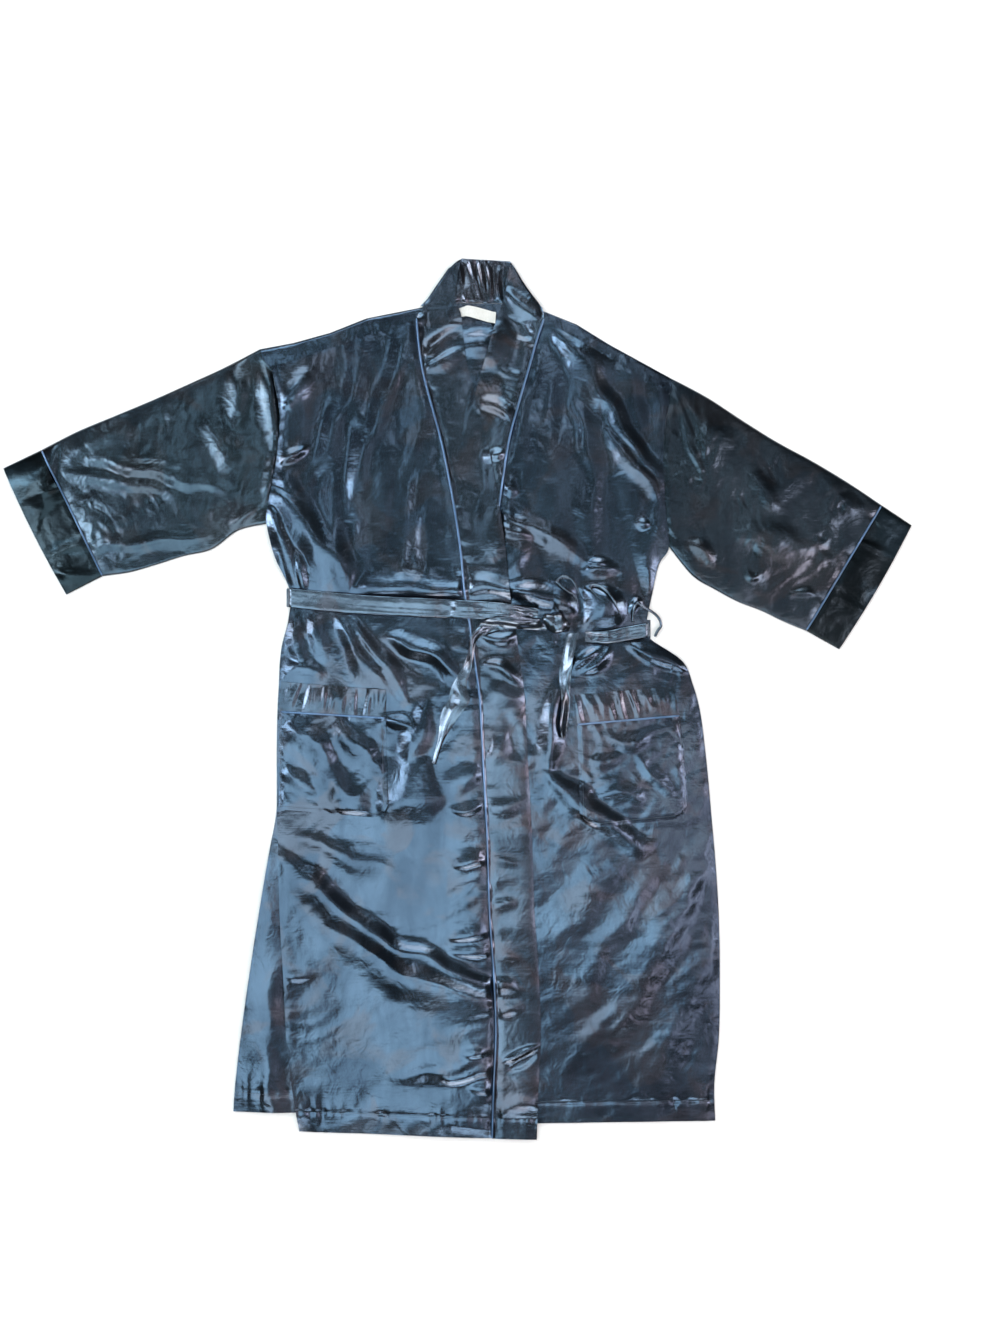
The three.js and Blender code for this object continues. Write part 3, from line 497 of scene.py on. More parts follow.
class Graph:
    """The nodes of one material."""

    def __init__(self, name: str) -> None:
        """Starts a material of that name with an empty tree."""
        self.material = bpy.data.materials.new(name)
        self.material.use_nodes = True
        self.tree = self.material.node_tree
        self.tree.nodes.clear()

    def node(
        self,
        kind: str,
        settings: dict[str, Any] | None = None,
        inputs: dict[str | int, Any] | None = None,
    ) -> bpy.types.Node:
        """Adds a node.

        Args:
            kind: The node's type.
            settings: Its own properties, set first.
            inputs: Values or links of its sockets, by name or number.

        Returns:
            The node.
        """
        made = self.tree.nodes.new(kind)
        for key, value in (settings or {}).items():
            setattr(made, key, value)
        for key, value in (inputs or {}).items():
            socket = made.inputs[key]
            if isinstance(value, Value):
                self.tree.links.new(value.socket, socket)
            elif isinstance(value, bpy.types.NodeSocket):
                self.tree.links.new(value, socket)
            else:
                socket.default_value = value
        return made

    def noise(
        self, place: Any, scale: float, detail: float = 2.0, distortion: float = 0.0
    ) -> Value:
        """Noise texture at a place, with `scale` wrinkles to a metre."""
        inputs = {"Vector": place, "Scale": scale, "Detail": detail, "Distortion": distortion}
        return Value(self, self.node("ShaderNodeTexNoise", None, inputs).outputs[0])

    def place(self, stretch: tuple[float, float, float], turn: float = 0.0) -> Any:
        """Object coordinates, turned about Z and stretched."""
        where = self.node("ShaderNodeTexCoord").outputs["Object"]
        inputs = {"Vector": where, "Rotation": (0, 0, turn), "Scale": stretch}
        return self.node("ShaderNodeMapping", None, inputs).outputs[0]

    def blend(self, share: Any, a: Any, b: Any) -> Any:
        """A colour between a and b."""
        node = self.node("ShaderNodeMix", {"data_type": "RGBA"}, {0: share, 6: a, 7: b})
        return node.outputs[2]

    def bump(self, height: Value, deep: float, before: Any = None) -> Any:
        """A Bump node `deep` metres deep, on the normal of the one before."""
        inputs = {"Height": height, "Distance": deep, "Strength": 1.0}
        if before is not None:
            inputs["Normal"] = before
        return self.node("ShaderNodeBump", None, inputs).outputs[0]

    def finish(self, **inputs: Any) -> bpy.types.Material:
        """Ends the tree in a Principled surface with these sockets."""
        named = {key.replace("_", " ").title(): value for key, value in inputs.items()}
        shader = self.node("ShaderNodeBsdfPrincipled", None, named)
        self.node("ShaderNodeOutputMaterial", None, {0: shader.outputs[0]})
        return self.material


Colour = tuple[float, float, float]


def _rgba(colour: Colour) -> tuple[float, float, float, float]:
    """A colour with full alpha."""
    return (*colour, 1.0)


@dataclass(frozen=True)
class SatinFinish:
    """Polished satin: near-black cloth whose threads mirror what is above them.

    Its colour wanders slowly between two shades, with ragged patches of painted reflection:
    a second colour that stands in for tinted reflections of the room in the satin. Its
    polish varies where it has been handled, and fine crumples, creases and the weave are
    bumps of falling size.
    """

    name: str
    deep: Colour
    shade: Colour
    rough: float = 0.3
    crumple: float = 0.00035
    grain: float = 0.2
    # Colour and share of the ragged patches of painted reflection, which stand in for tinted
    # reflections of the room.
    painted_reflection: Colour = (0.1, 0.092, 0.108)
    painted_reflection_share: float = 0.6

    # How many wrinkles of each pattern go to a metre.
    CLOUDS, STREAKS, PATCHES, HANDLED = 9, 34, 15, 26
    CRUMPLES, CREASES, SLUBS, WEAVE = 45, 130, 420, 2600
    # How far the polish varies, how deep a thread is in metres, and how metal-like it mirrors.
    POLISH = 0.16
    THREAD_DEEP = 0.00001
    MIRROR = 0.96

    def material(self) -> bpy.types.Material:
        """Builds the material."""
        graph = Graph(self.name)
        even = graph.place((1, 1, 1))
        streaked = graph.place((1, 0.35, 1), self.grain)
        slubbed = graph.place((0.1, 1, 1), self.grain)
        cloud = graph.noise(even, self.CLOUDS, 3)
        streak = graph.noise(streaked, self.STREAKS, 3, 0.6)
        handled = graph.noise(even, self.HANDLED, 4)
        tone = (cloud * 0.6 + streak * 0.4).step(0.35, 0.65)
        blue = graph.blend(tone, _rgba(self.deep), _rgba(self.shade))
        # Painted reflection: ragged patches of a second colour mixed into the cloth's own two
        # shades.
        patch = graph.noise(even, self.PATCHES, 5, 0.7).step(0.5, 0.62) * self.painted_reflection_share
        colour = graph.blend(patch, blue, _rgba(self.painted_reflection))
        soft = graph.noise(even, self.CRUMPLES, 2, 0.8)
        fine = graph.noise(even, self.CREASES, 2)
        slub = graph.noise(slubbed, self.SLUBS, 2)
        weave = graph.noise(graph.place((1, 0.12, 1), self.grain), self.WEAVE, 1)
        crumpled = graph.bump(soft, self.crumple * 2.0)
        creased = graph.bump(fine, self.crumple * 0.5, crumpled)
        slubs = graph.bump(slub, self.crumple * 0.24, creased)
        return graph.finish(
            base_color=colour,
            metallic=self.MIRROR,
            roughness=self.rough + (handled - 0.5) * self.POLISH,
            normal=graph.bump(weave, self.THREAD_DEEP, slubs),
        )


@dataclass(frozen=True)
class ThreadFinish:
    """Spun cotton or polyester thread and woven tape: matt, with a fine twist."""

    name: str
    colour: Colour
    shade: Colour
    rough: float = 0.7
    twist: float = 900.0

    def material(self) -> bpy.types.Material:
        """Builds the material."""
        graph = Graph(self.name)
        even = graph.place((1, 1, 1))
        twist = graph.noise(graph.place((1, 0.3, 1), 0.7), self.twist, 2)
        tone = (graph.noise(even, 60, 3) * 0.5 + twist * 0.5).step(0.3, 0.7)
        return graph.finish(
            base_color=graph.blend(tone, _rgba(self.colour), _rgba(self.shade)),
            roughness=self.rough + (twist - 0.5) * 0.2,
            normal=graph.bump(twist, 0.00012),
        )


@dataclass(frozen=True)
class FloorFinish:
    """A plain pale table top."""

    name: str = "table"
    colour: Colour = (0.88, 0.87, 0.86)

    def material(self) -> bpy.types.Material:
        """Builds the material."""
        graph = Graph(self.name)
        mottle = graph.noise(graph.place((1, 1, 1)), 3, 3)
        lighter = tuple(min(1.0, c * 1.02) for c in self.colour)
        return graph.finish(
            base_color=graph.blend(mottle, _rgba(self.colour), _rgba(lighter)),
            roughness=0.85 + (mottle - 0.5) * 0.1,
        )


class Finish(Enum):
    """The finishes that the robe's pieces are made in."""

    # Where given, the last two values are the colour and share of the patches of painted
    # reflection.
    SATIN = SatinFinish(
        "satin_cloth", (0.052, 0.073, 0.106), (0.086, 0.12, 0.168), 0.2, 0.00029, 0.2,
        (0.098, 0.096, 0.114), 0.5,
    )
    # Partly painted shade: the body's cloth with its weave turned along the sleeve, made darker for
    # the sleeves' darker reflection, with duller patches of painted reflection.
    SATIN_SLEEVE_SHADED = SatinFinish(
        "satin_sleeve_shaded", (0.042, 0.059, 0.078), (0.072, 0.098, 0.124), 0.21, 0.00028, 1.1,
        (0.08, 0.077, 0.086), 0.5,
    )
    SATIN_BAND = SatinFinish(
        "satin_facing", (0.052, 0.072, 0.1), (0.1, 0.126, 0.168), 0.2, 0.00026, 0.05
    )
    # Painted light: the under band is the over band's cloth made lighter and bluer, with more
    # patches of painted reflection, so that the over band's edge shows against it where a step
    # would catch the light.
    SATIN_BAND_UNDER_LIT = SatinFinish(
        "satin_facing_under_lit", (0.062, 0.083, 0.115), (0.115, 0.145, 0.19), 0.2, 0.00026, 0.05,
        (0.125, 0.108, 0.12), 0.8,
    )
    # Painted shade: the cuffs are the body's cloth made darker for the darker reflection they show,
    # and their patches of painted reflection are blue, for a pale blue reflection.
    SATIN_CUFF_SHADED = SatinFinish(
        "satin_cuff_shaded", (0.014, 0.02, 0.024), (0.032, 0.045, 0.053), 0.2, 0.0002, 1.1,
        (0.032, 0.056, 0.074),
    )
    # The belt's satin, lighter than the body's. On the pleat edges it is a painted highlight of the
    # folded cloth.
    SATIN_BELT_AND_EDGE_HIGHLIGHT = SatinFinish(
        "satin_belt_and_edge_highlight", (0.09, 0.115, 0.15), (0.135, 0.172, 0.222), 0.25, 0.0002, 1.4
    )
    PIPING = SatinFinish(
        "satin_cord", (0.1, 0.18, 0.32), (0.17, 0.27, 0.45), 0.36, 0.0001, 0.0,
        (0.14, 0.2, 0.32),
    )
    LABEL = ThreadFinish("label_weave", (0.62, 0.62, 0.58), (0.74, 0.74, 0.71), 0.75)
    THREAD = ThreadFinish("thread", (0.02, 0.028, 0.045), (0.05, 0.07, 0.1), 0.55)

    @functools.cache
    def material(self) -> bpy.types.Material:
        """The finish's material, built the first time that it is asked for."""
        return self.value.material()


# ---- meshes -------------------------------------------------------------------------------


@dataclass
class Sheet:
    """A grid of cloth: its top surface, row by row."""

    x: Array
    y: Array
    z: Array

    @property
    def shape(self) -> tuple[int, int]:
        """Rows and columns."""
        return self.x.shape

    def lengths(self) -> tuple[float, float]:
        """The longest way across and the longest way down, in metres."""
        across = np.hypot(np.diff(self.x, axis=1), np.diff(self.y, axis=1)).sum(1).max()
        down = np.hypot(np.diff(self.x, axis=0), np.diff(self.y, axis=0)).sum(0).max()
        return float(across) * MM, float(down) * MM


def grid_mesh(name: str, sheet: Sheet, round_rows: bool = False) -> bpy.types.Mesh:
    """Makes a mesh of a grid, its faces up or outwards, with a UV map in metres of cloth.

    Args:
        name: The mesh's name.
        sheet: The grid.
        round_rows: True where each row closes on itself, as round a tube.

    Returns:
        The mesh.
    """
    rows, across = sheet.shape
    points = np.stack([sheet.x, sheet.y, sheet.z], axis=-1).reshape(-1, 3) * MM
    steps = across if round_rows else across - 1
    j, i = np.meshgrid(np.arange(rows - 1), np.arange(steps), indexing="ij")
    after = (i + 1) % across
    quads = np.stack(
        [j * across + i, (j + 1) * across + i, (j + 1) * across + after, j * across + after],
        axis=-1,
    ).reshape(-1, 4)
    a, b, c = (points[quads[:, k]] - points.mean(0) for k in (0, 1, 2))
    facing = np.cross(b - a, c - a)
    outward = (facing * a).sum() if round_rows else facing[:, 2].sum()
    if outward < 0:
        quads = quads[:, ::-1]
    du = np.hypot(np.diff(sheet.x, axis=1), np.diff(sheet.y, axis=1)).mean(0)
    dv = np.hypot(np.diff(sheet.x, axis=0), np.diff(sheet.y, axis=0)).mean(1)
    u, v = _running(du) * MM, _running(dv) * MM
    plan = np.stack(np.broadcast_arrays(u[None, :], v[:, None]), axis=-1).reshape(-1, 2)
    return raw_mesh(name, points, quads, plan)


def raw_mesh(name: str, points: Array, quads: Array, plan: Array | None) -> bpy.types.Mesh:
    """Puts points and four-sided faces into a mesh.

    Args:
        name: The mesh's name.
        points: Places in metres.
        quads: Point numbers, four to a face.
        plan: UV places of the points, or None.

    Returns:
        The mesh, shaded smooth.
    """
    mesh = bpy.data.meshes.new(name)
    mesh.vertices.add(len(points))
    mesh.vertices.foreach_set("co", points.astype(np.float32).ravel())
    mesh.loops.add(quads.size)
    mesh.loops.foreach_set("vertex_index", quads.astype(np.int32).ravel())
    mesh.polygons.add(len(quads))
    mesh.polygons.foreach_set("loop_start", np.arange(0, quads.size, 4, dtype=np.int32))
    mesh.polygons.foreach_set("use_smooth", np.ones(len(quads), bool))
    if plan is not None:
        layer = mesh.uv_layers.new(name="cloth")
        layer.data.foreach_set("uv", plan[quads.ravel()].astype(np.float32).ravel())
    mesh.update(calc_edges=True)
    mesh.validate()
    edges = np.empty(len(mesh.loops), np.int32)
    mesh.loops.foreach_get("edge_index", edges)
    rim = np.bincount(edges, minlength=len(mesh.edges)) == 1
    sharp = mesh.attributes.new("sharp_edge", "BOOLEAN", "EDGE")
    sharp.data.foreach_set("value", rim)
    return mesh


TUBE_TIP = 0.02


def tube_sheet(
    path: Array, wide: float, high: float, sides: int = 10, fine: float = 0.0
) -> Sheet:
    """A cord of oval section along a path: each ring is square to the path in plan.

    Args:
        path: Places of its middle line, x, y and z in each row.
        wide: Its full width.
        high: Its full height.
        sides: Points round it.
        fine: The share of its length over which either end thins out.

    Returns:
        The rings as a grid whose rows close on themselves, drawn in at both ends.
    """
    step = np.gradient(path[:, :2], axis=0)
    step = step / np.linalg.norm(step, axis=1, keepdims=True)
    turn = np.linspace(0, 2 * np.pi, sides, endpoint=False)
    share = np.linspace(0, 1, len(path))
    ends = _rise(np.minimum(share, 1 - share) / max(fine, 1e-6))
    ends[[0, -1]] = TUBE_TIP
    out = np.cos(turn)[None, :] * wide / 2 * ends[:, None]
    up = np.sin(turn)[None, :] * high / 2 * ends[:, None]
    x = path[:, :1] + step[:, 1:] * out
    y = path[:, 1:2] - step[:, :1] * out
    return Sheet(x, y, path[:, 2:] + up)


class Tailor:
    """Makes finished pieces out of grids, and keeps the relief of what is laid."""

    CLEAR = 0.3
    THIN = 0.6
    DOUBLE = 1.2
    PATH_REACH = 3.0

    def __init__(self) -> None:
        """Starts with nothing laid."""
        self.relief = Relief()

    def rest(self, x: Array, y: Array, reach: float, wall: float) -> Array:
        """The height of a sheet's top where it rests on what is laid."""
        return self.relief.under(x, y, reach) + self.CLEAR + wall

    def level(self, path: Array, reach: int) -> Array:
        """How high what is laid reaches along a path, smoothed over `reach` points."""
        top = self.relief.under(path[:, 0], path[:, 1], self.PATH_REACH)
        return _smoothed(top, reach)

    def piece(
        self,
        name: str,
        mesh: bpy.types.Mesh,
        finish: Finish,
        slot: str,
        nodes: Sequence[str] = (),
        wall: float = 0.0,
    ) -> bpy.types.Object:
        """Links a mesh as a piece that rides on the robe.

        Args:
            name: The piece's name.
            mesh: Its mesh.
            finish: Its finish.
            slot: Not used.
            nodes: The solids that it stands for.
            wall: The thickness of its cloth, or 0 where the mesh is closed already.

        Returns:
            The object.
        """
        made = bpy.data.objects.new(name, mesh)
        bpy.context.scene.collection.objects.link(made)
        mesh.materials.append(finish.material())
        if wall:
            solid = made.modifiers.new("wall", "SOLIDIFY")
            solid.thickness = wall * MM
            solid.offset = -1
            solid.use_even_offset = False
        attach(made, BODY)
        if nodes:
            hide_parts(*nodes)
        log.info("%s: %d faces", name, len(mesh.polygons))
        return made

    def cloth(
        self,
        name: str,
        sheet: Sheet,
        finish: Finish,
        slot: str,
        on: Sequence[str],
        wall: float = THIN,
        nodes: Sequence[str] | None = None,
        lay: bool = True,
    ) -> bpy.types.Object:
        """Makes a piece of cloth from a grid and lays it.

        Args:
            name: The piece's name, and its node's unless `nodes` says otherwise.
            sheet: The grid of its top.
            finish: Its finish.
            slot: Not used.
            on: What it rests on. Not used.
            wall: The thickness of its cloth.
            nodes: The solids that it stands for.
            lay: Whether later pieces rest on it.

        Returns:
            The object.
        """
        mesh = grid_mesh(name, sheet)
        made = self.piece(name, mesh, finish, slot, nodes or [name], wall)
        width, length = sheet.lengths()
        if lay:
            self.relief.lay(sheet.x, sheet.y, sheet.z)
        return made

    def tube(
        self, name: str, sheet: Sheet, finish: Finish, slot: str, around: float, long: float
    ) -> bpy.types.Object:
        """Makes a flattened tube of cloth from rings and lays it.

        Args:
            name: The piece's name, and its node's.
            sheet: The rings.
            finish: Its finish.
            slot: Not used.
            around: Its width all round. Not used.
            long: Its length. Not used.

        Returns:
            The object.
        """
        made = self.piece(name, grid_mesh(name, sheet, True), finish, slot, [name], self.THIN)
        self.relief.lay(sheet.x, sheet.y, sheet.z)
        return made

    def cord(self, name: str, path: Array, wide: float, high: float) -> bpy.types.Object:
        """Makes a length of piping along a path, and lays it.

        Args:
            name: The piece's name, and its node's.
            path: Places of its middle line.
            wide: Its width.
            high: Its height.

        Returns:
            The object.
        """
        sheet = tube_sheet(path, wide, high)
        made = self.piece(name, grid_mesh(name, sheet, True), Finish.PIPING, "piping", [name])
        self.relief.lay(sheet.x, sheet.y, sheet.z)
        return made


# ---- the cut ------------------------------------------------------------------------------


@dataclass(frozen=True)
class Section:
    """The body's outline at one height: side seams, piped front edges and the open vent."""

    seam_right: Point
    over: Point
    under: Point
    seam_left: Point
    vent: Point | None = None


SECTIONS = (
    Section((-242, 430), (-53, 493), (112, 492), (275, 398)),
    Section((-236, 401), (-50, 460), (103, 465), (275, 382)),
    Section((-231, 369), (-44, 421), (93, 430), (271, 361)),
    Section((-232, 340), (-31, 372), (77, 374), (268, 330)),
    Section((-236, 307), (-19, 326), (66, 330), (268, 294)),
    Section((-246, 252), (-7, 265), (57, 271), (271, 242)),
    Section((-248, 227), (-1, 229), (51, 232), (275, 197)),
    Section((-238, 185), (5, 185), (45, 187), (262, 174)),
    Section((-218, 140), (10, 133), (38, 138), (253, 135)),
    Section((-220, 102), (16, 97), (34, 99), (246, 99)),
    Section((-228, 70), (21, 60), (32, 70), (249, 79)),
    Section((-231, 45), (25, 31), (29, 33), (292, 49)),
    Section((-232, 22), (29, 2), (27, -6), (306, 18)),
    Section((-234, -17), (31, -33), (25, -45), (316, -20)),
    Section((-235, -73), (34, -93), (23, -110), (324, -85)),
    Section((-235, -142), (38, -166), (20, -181), (330, -151)),
    Section((-244, -197), (40, -220), (18, -236), (336, -220), (-233, -197)),
    Section((-257, -275), (42, -281), (16, -294), (340, -291), (-231, -281)),
    Section((-270, -359), (47, -353), (13, -359), (341, -363), (-226, -366)),
    Section((-281, -437), (50, -431), (10, -437), (340, -437), (-222, -445)),
    Section((-288, -496), (47, -505), (7, -502), (334, -499), (-215, -505)),
    Section((-291, -536), (45, -570), (6, -553), (335, -548), (-206, -562)),
)
UNDERARM_ROW = 6
POCKET_TOP_ROW = 12
POCKET_SEAM_ROW = 13
POCKET_FOOT_ROW = 15
LAST_ROW = len(SECTIONS) - 1

TOP_EDGE = (
    (-256, 454), (-213, 462), (-166, 475), (-118, 494), (-47, 508), (6, 514),
    (60, 513), (110, 504), (155, 486), (197, 460), (239, 437), (279, 415),
)
BELT_RIGHT_LINE = ((-220.6, 131), (-123, 122), (-24, 117), (55, 113), (104, 107))
BELT_LEFT_LINE = ((166, 80), (196, 80), (218, 84), (249.4, 89.5))
BELT_WIDTH = 24.0
BELT_MIDDLE = 128.0


class Side(Enum):
    """The wearer's two sides, with the way outwards along X."""

    RIGHT = -1
    LEFT = 1

    @property
    def word(self) -> str:
        """The side's name in a piece's name."""
        return self.name.lower()


class Cut:
    """The curves of the body's outline, and the belt's press on the folds."""

    def __init__(self) -> None:
        """Reads the sections."""
        self.seam_right = Curve([s.seam_right for s in SECTIONS])
        self.seam_left = Curve([s.seam_left for s in SECTIONS])
        self.over = Curve([s.over for s in SECTIONS])
        self.under = Curve([s.under for s in SECTIONS])
        self.vent = Curve([s.vent or s.seam_right for s in SECTIONS])

    def side(self, side: Side) -> Curve:
        """The outer edge of a front."""
        return self.vent if side is Side.RIGHT else self.seam_left

    def edge(self, side: Side) -> Curve:
        """The piped edge of a front."""
        return self.over if side is Side.RIGHT else self.under

    def front_line(self, side: Side, share: float) -> Curve:
        """The curve at a share of the way from a front's side to its piped edge."""
        a, b = self.side(side).points, self.edge(side).points
        return Curve(a + (b - a) * share)

    @staticmethod
    def pressed(x: Array, y: Array) -> Array:
        """What the belt leaves of a fold: nothing on its own middle line."""
        right = height_at(BELT_RIGHT_LINE, x)
        left = height_at(BELT_LEFT_LINE, x)
        line = np.where(x < BELT_MIDDLE, right, left)
        return 1 - _bell(y - line, BELT_WIDTH * 0.62)


# Start, bend and end of each fold's crest line, then how high and wide it is, in millimetres,
# and, where it isn't 1 and 2, how much steeper its right-hand side is and how keen its crest.
FOLDS_OVER = (
    Fold((-226, -204), (-112, -336), (64, -374), 10.0, 15, 0.55, 2.2),
    Fold((-196, -258), (-110, -372), (54, -398), 4.5, 10, 0.45, 2.2),
    Fold((-205, -177), (-153, -197), (-81, -233), 3.5, 18),
    Fold((-246, 262), (-176, 236), (-143, 142), 8, 17, 0.55),
    Fold((-234, 236), (-182, 210), (-158, 138), 5.5, 11, 0.7),
    Fold((-248, 250), (-226, 200), (-208, 140), 6, 12, 0.8),
    Fold((-240, 214), (-234, 180), (-226, 150), 4, 9),
    Fold((-153, 107), (-124, 57), (-85, -8), 5.5, 13),
    Fold((-160, 111), (-134, 72), (-104, 14), 3.0, 7, 1.3),
    Fold((-142, 111), (-104, 60), (-66, -10), 4.5, 8, 1.4),
    Fold((-215, 200), (-205, 167), (-197, 141), 5, 11),
    Fold((-214, 104), (-203, 63), (-200, 27), 3.0, 13),
    Fold((-184, 108), (-178, 70), (-172, 40), 2.6, 11),
    Fold((-226, 28), (-199, 56), (-170, 24), 3.2, 12),
    Fold((-60, 479), (-104, 372), (-146, 235), 3.2, 12),
    Fold((-129, 420), (-170, 335), (-191, 264), 2.6, 14),
    Fold((-150, 142), (-60, 148), (40, 138), 6.0, 16, 1.3),
    Fold((0, 140), (60, 150), (114, 126), 6.5, 15, 1.3),
    Fold((-94, 76), (-60, 74), (0, 34), 5.5, 12, 1.5),
    Fold((-90, 60), (-48, 40), (-16, 18), -3, 10),
    Fold((-33, -5), (-64, -67), (-83, -138), 5, 15),
    Fold((-92, -30), (-70, -80), (-88, -130), -2.2, 17),
    Fold((-94, -28), (-70, -26), (-52, -40), 5, 9),
    Fold((-20, -110), (-64, -134), (-104, -134), 7.2, 28, 0.46),
    Fold((-98, 66), (-92, 30), (-74, 2), 4.2, 12, 0.8),
    Fold((-77, -493), (-23, -486), (37, -473), 3.5, 13),
    Fold((-228, -360), (-208, -364), (-188, -358), 1.8, 10, 1.8),
    Fold((-8, -308), (16, -316), (44, -306), 3.2, 15, 2.6),
    Fold((-12, -328), (16, -336), (48, -326), 2.6, 10, 2.6),
    Fold((-10, -214), (14, -222), (38, -212), 3.0, 13, 2.6),
    Fold((-8, -142), (14, -150), (34, -140), 2.8, 11, 2.6),
    Fold((-22, -104), (4, -114), (34, -98), 3.0, 17, 1.8),
    Fold((2, -462), (20, -470), (42, -460), 2.6, 10, 2.6),
    Fold((-34, -486), (8, -498), (50, -484), 3.6, 17, 2.4),
    Fold((18, -506), (34, -512), (50, -504), 2.4, 9, 2.4),
    Fold((-230, 384), (-212, 398), (-190, 426), 3.0, 11, 0.7),
    Fold((-230, 308), (-214, 316), (-196, 326), 3.0, 10, 1.4),
    Fold((-230, 378), (-220, 382), (-210, 388), 2.0, 7),
    Fold((-231, 290), (-205, 260), (-178, 190), 3, 18),
)
FOLDS_UNDER = (
    Fold((125, 480), (196, 408), (264, 262), 4.8, 20, 1.3),
    Fold((180, 430), (230, 368), (262, 300), -2.5, 10),
    Fold((150, 395), (178, 330), (180, 236), 2.4, 17, 1.4),
    Fold((192, 352), (228, 300), (262, 258), 4, 11),
    Fold((63, 242), (114, 222), (170, 177), 3.5, 12),
    Fold((52, 278), (66, 276), (78, 268), 2.4, 8),
    Fold((54, 222), (76, 221), (100, 208), 3.4, 10, 1.6),
    Fold((50, 144), (100, 136), (160, 112), 7.0, 14, 1.3),
    Fold((168, 140), (198, 130), (208, 96), 7.0, 11, 0.42),
    Fold((166, 168), (188, 176), (212, 168), 3.0, 9),
    Fold((157, 142), (160, 110), (158, 82), -4, 9),
    Fold((225, 110), (228, 128), (240, 120), 4, 5),
    Fold((224, 74), (254, 50), (300, 34), 5.5, 11, 1.4),
    Fold((240, 62), (264, 46), (292, 30), -2.5, 10),
    Fold((150, 38), (168, 58), (192, 72), 5.0, 7),
    Fold((160, 32), (184, 46), (200, 70), 5.0, 7),
    Fold((133, 11), (118, -41), (122, -90), 6, 12),
    Fold((84, 0), (92, -40), (100, -66), -4, 8),
    Fold((114, -85), (166, -152), (240, -194), 5.5, 16, 1.2),
    Fold((126, -80), (176, -134), (240, -170), -3, 13),
    Fold((185, -473), (257, -340), (318, -213), 2.6, 24, 1.5),
    Fold((149, -398), (205, -301), (253, -218), 1.9, 19, 1.4),
    Fold((237, -512), (302, -405), (331, -307), 2.1, 20, 1.4),
    Fold((120, -330), (176, -270), (214, -200), 1.6, 16, 1.3),
    Fold((150, -470), (220, -390), (276, -300), 1.8, 15, 1.4),
    Fold((210, -420), (262, -360), (300, -300), 1.5, 12, 1.3),
    Fold((259, 252), (246, 193), (248, 138), 1.5, 12),
    Fold((168, 180), (182, 178), (200, 178), 4, 6),
    Fold((88, 208), (78, 180), (64, 160), 2.2, 12),
    Fold((232, 228), (240, 226), (250, 230), 3, 7),
    Fold((60, -120), (66, -190), (60, -260), 2.5, 10),
)
FOLDS_BAND = tuple(f for f in FOLDS_OVER if f.end[0] > 53) + (
    Fold((-50, 444), (-28, 460), (2, 484), 3.4, 9, 0.7),
    Fold((-47, 426), (-20, 442), (4, 450), 3.2, 9, 0.7),
    Fold((60, -470), (80, -458), (104, -452), 4.5, 4, 1.6),
    Fold((66, -480), (84, -470), (100, -462), -4, 4),
    Fold((54, -540), (80, -520), (104, -530), 1.6, 9),
    Fold((40, -212), (56, -206), (80, -214), 1.4, 8, 1.3),
    Fold((38, -142), (58, -150), (78, -136), 1.8, 10, 1.3),
    Fold((38, -66), (56, -80), (70, -34), 2.0, 17),
    Fold((42, 20), (60, 0), (82, 10), 2.2, 16),
    Fold((60, -28), (74, -50), (84, -80), -2.0, 12),
    Fold((44, -264), (58, -272), (72, -262), 1.4, 8, 1.3),
    Fold((40, -334), (60, -326), (78, -336), 1.6, 10, 1.3),
    Fold((46, -404), (60, -412), (88, -398), 1.8, 10, 1.3),
    Fold((30, 88), (50, 70), (76, 84), 3.5, 7),
    Fold((36, 40), (56, 50), (82, 26), 4, 8),
    Fold((14, 128), (50, 132), (66, 124), 3.5, 7),
)
FOLDS_BAND_UNDER = (
    Fold((63, 534), (84, 506), (105, 497), 3.5, 9),
    Fold((66, 496), (84, 478), (98, 470), -2.5, 7),
    Fold((52, 428), (70, 424), (86, 420), 1.6, 8),
    Fold((28, 374), (50, 382), (72, 368), 3.4, 12, 2.0),
    Fold((38, 318), (50, 313), (64, 320), 2.6, 8, 1.5),
)
FOLDS_BACK = (
    Fold((-253, -160), (-251, -400), (-234, -760), 7.0, 27, 0.62, 1.5),
    Fold((-8, 456), (20, 444), (56, 458), 5.2, 24, 3.0),
    Fold((-12, 496), (22, 470), (58, 492), -3.0, 8),
    Fold((20, 372), (44, 360), (70, 372), 4.0, 20, 2.4),
)
FOLDS_SLEEVES = (
    Fold((-486, 318), (-400, 288), (-298, 274), 3.0, 15, 1.5),
    Fold((-520, 300), (-440, 286), (-360, 262), 1.8, 10),
    Fold((-279, 446), (-287, 406), (-278, 366), 4.4, 11, 0.7),
    Fold((-254, 446), (-241, 386), (-238, 322), 4.2, 7, 0.6),
    Fold((-240, 330), (-238, 290), (-250, 256), 2.2, 5, 0.7),
    Fold((-478, 196), (-400, 202), (-316, 212), 2.0, 8, 1.4),
    Fold((-530, 330), (-527, 288), (-540, 240), 6.4, 12, 0.36),
    Fold((-520, 166), (-500, 152), (-470, 160), 2.4, 7),
    Fold((-440, 176), (-380, 186), (-316, 196), -1.4, 8),
    Fold((-512, 290), (-500, 330), (-440, 356), 1.8, 16),
    Fold((-262, 250), (-280, 238), (-292, 226), 2.4, 9),
    Fold((-330, 356), (-300, 322), (-284, 300), 2.0, 16),
    Fold((296, 392), (336, 350), (330, 296), 2.8, 18),
    Fold((286, 388), (300, 330), (318, 290), 2.2, 9, 1.6),
    Fold((388, 300), (396, 268), (412, 246), 2.2, 13),
    Fold((360, 210), (410, 220), (450, 190), 2.4, 16),
    Fold((470, 290), (500, 262), (520, 240), 2.0, 14),
    Fold((300, 200), (316, 200), (330, 176), 2.6, 8),
    Fold((376, 168), (384, 148), (392, 164), 2.0, 5),
    Fold((430, 132), (448, 142), (462, 134), 2.0, 5),
)


# ---- the body -----------------------------------------------------------------------------


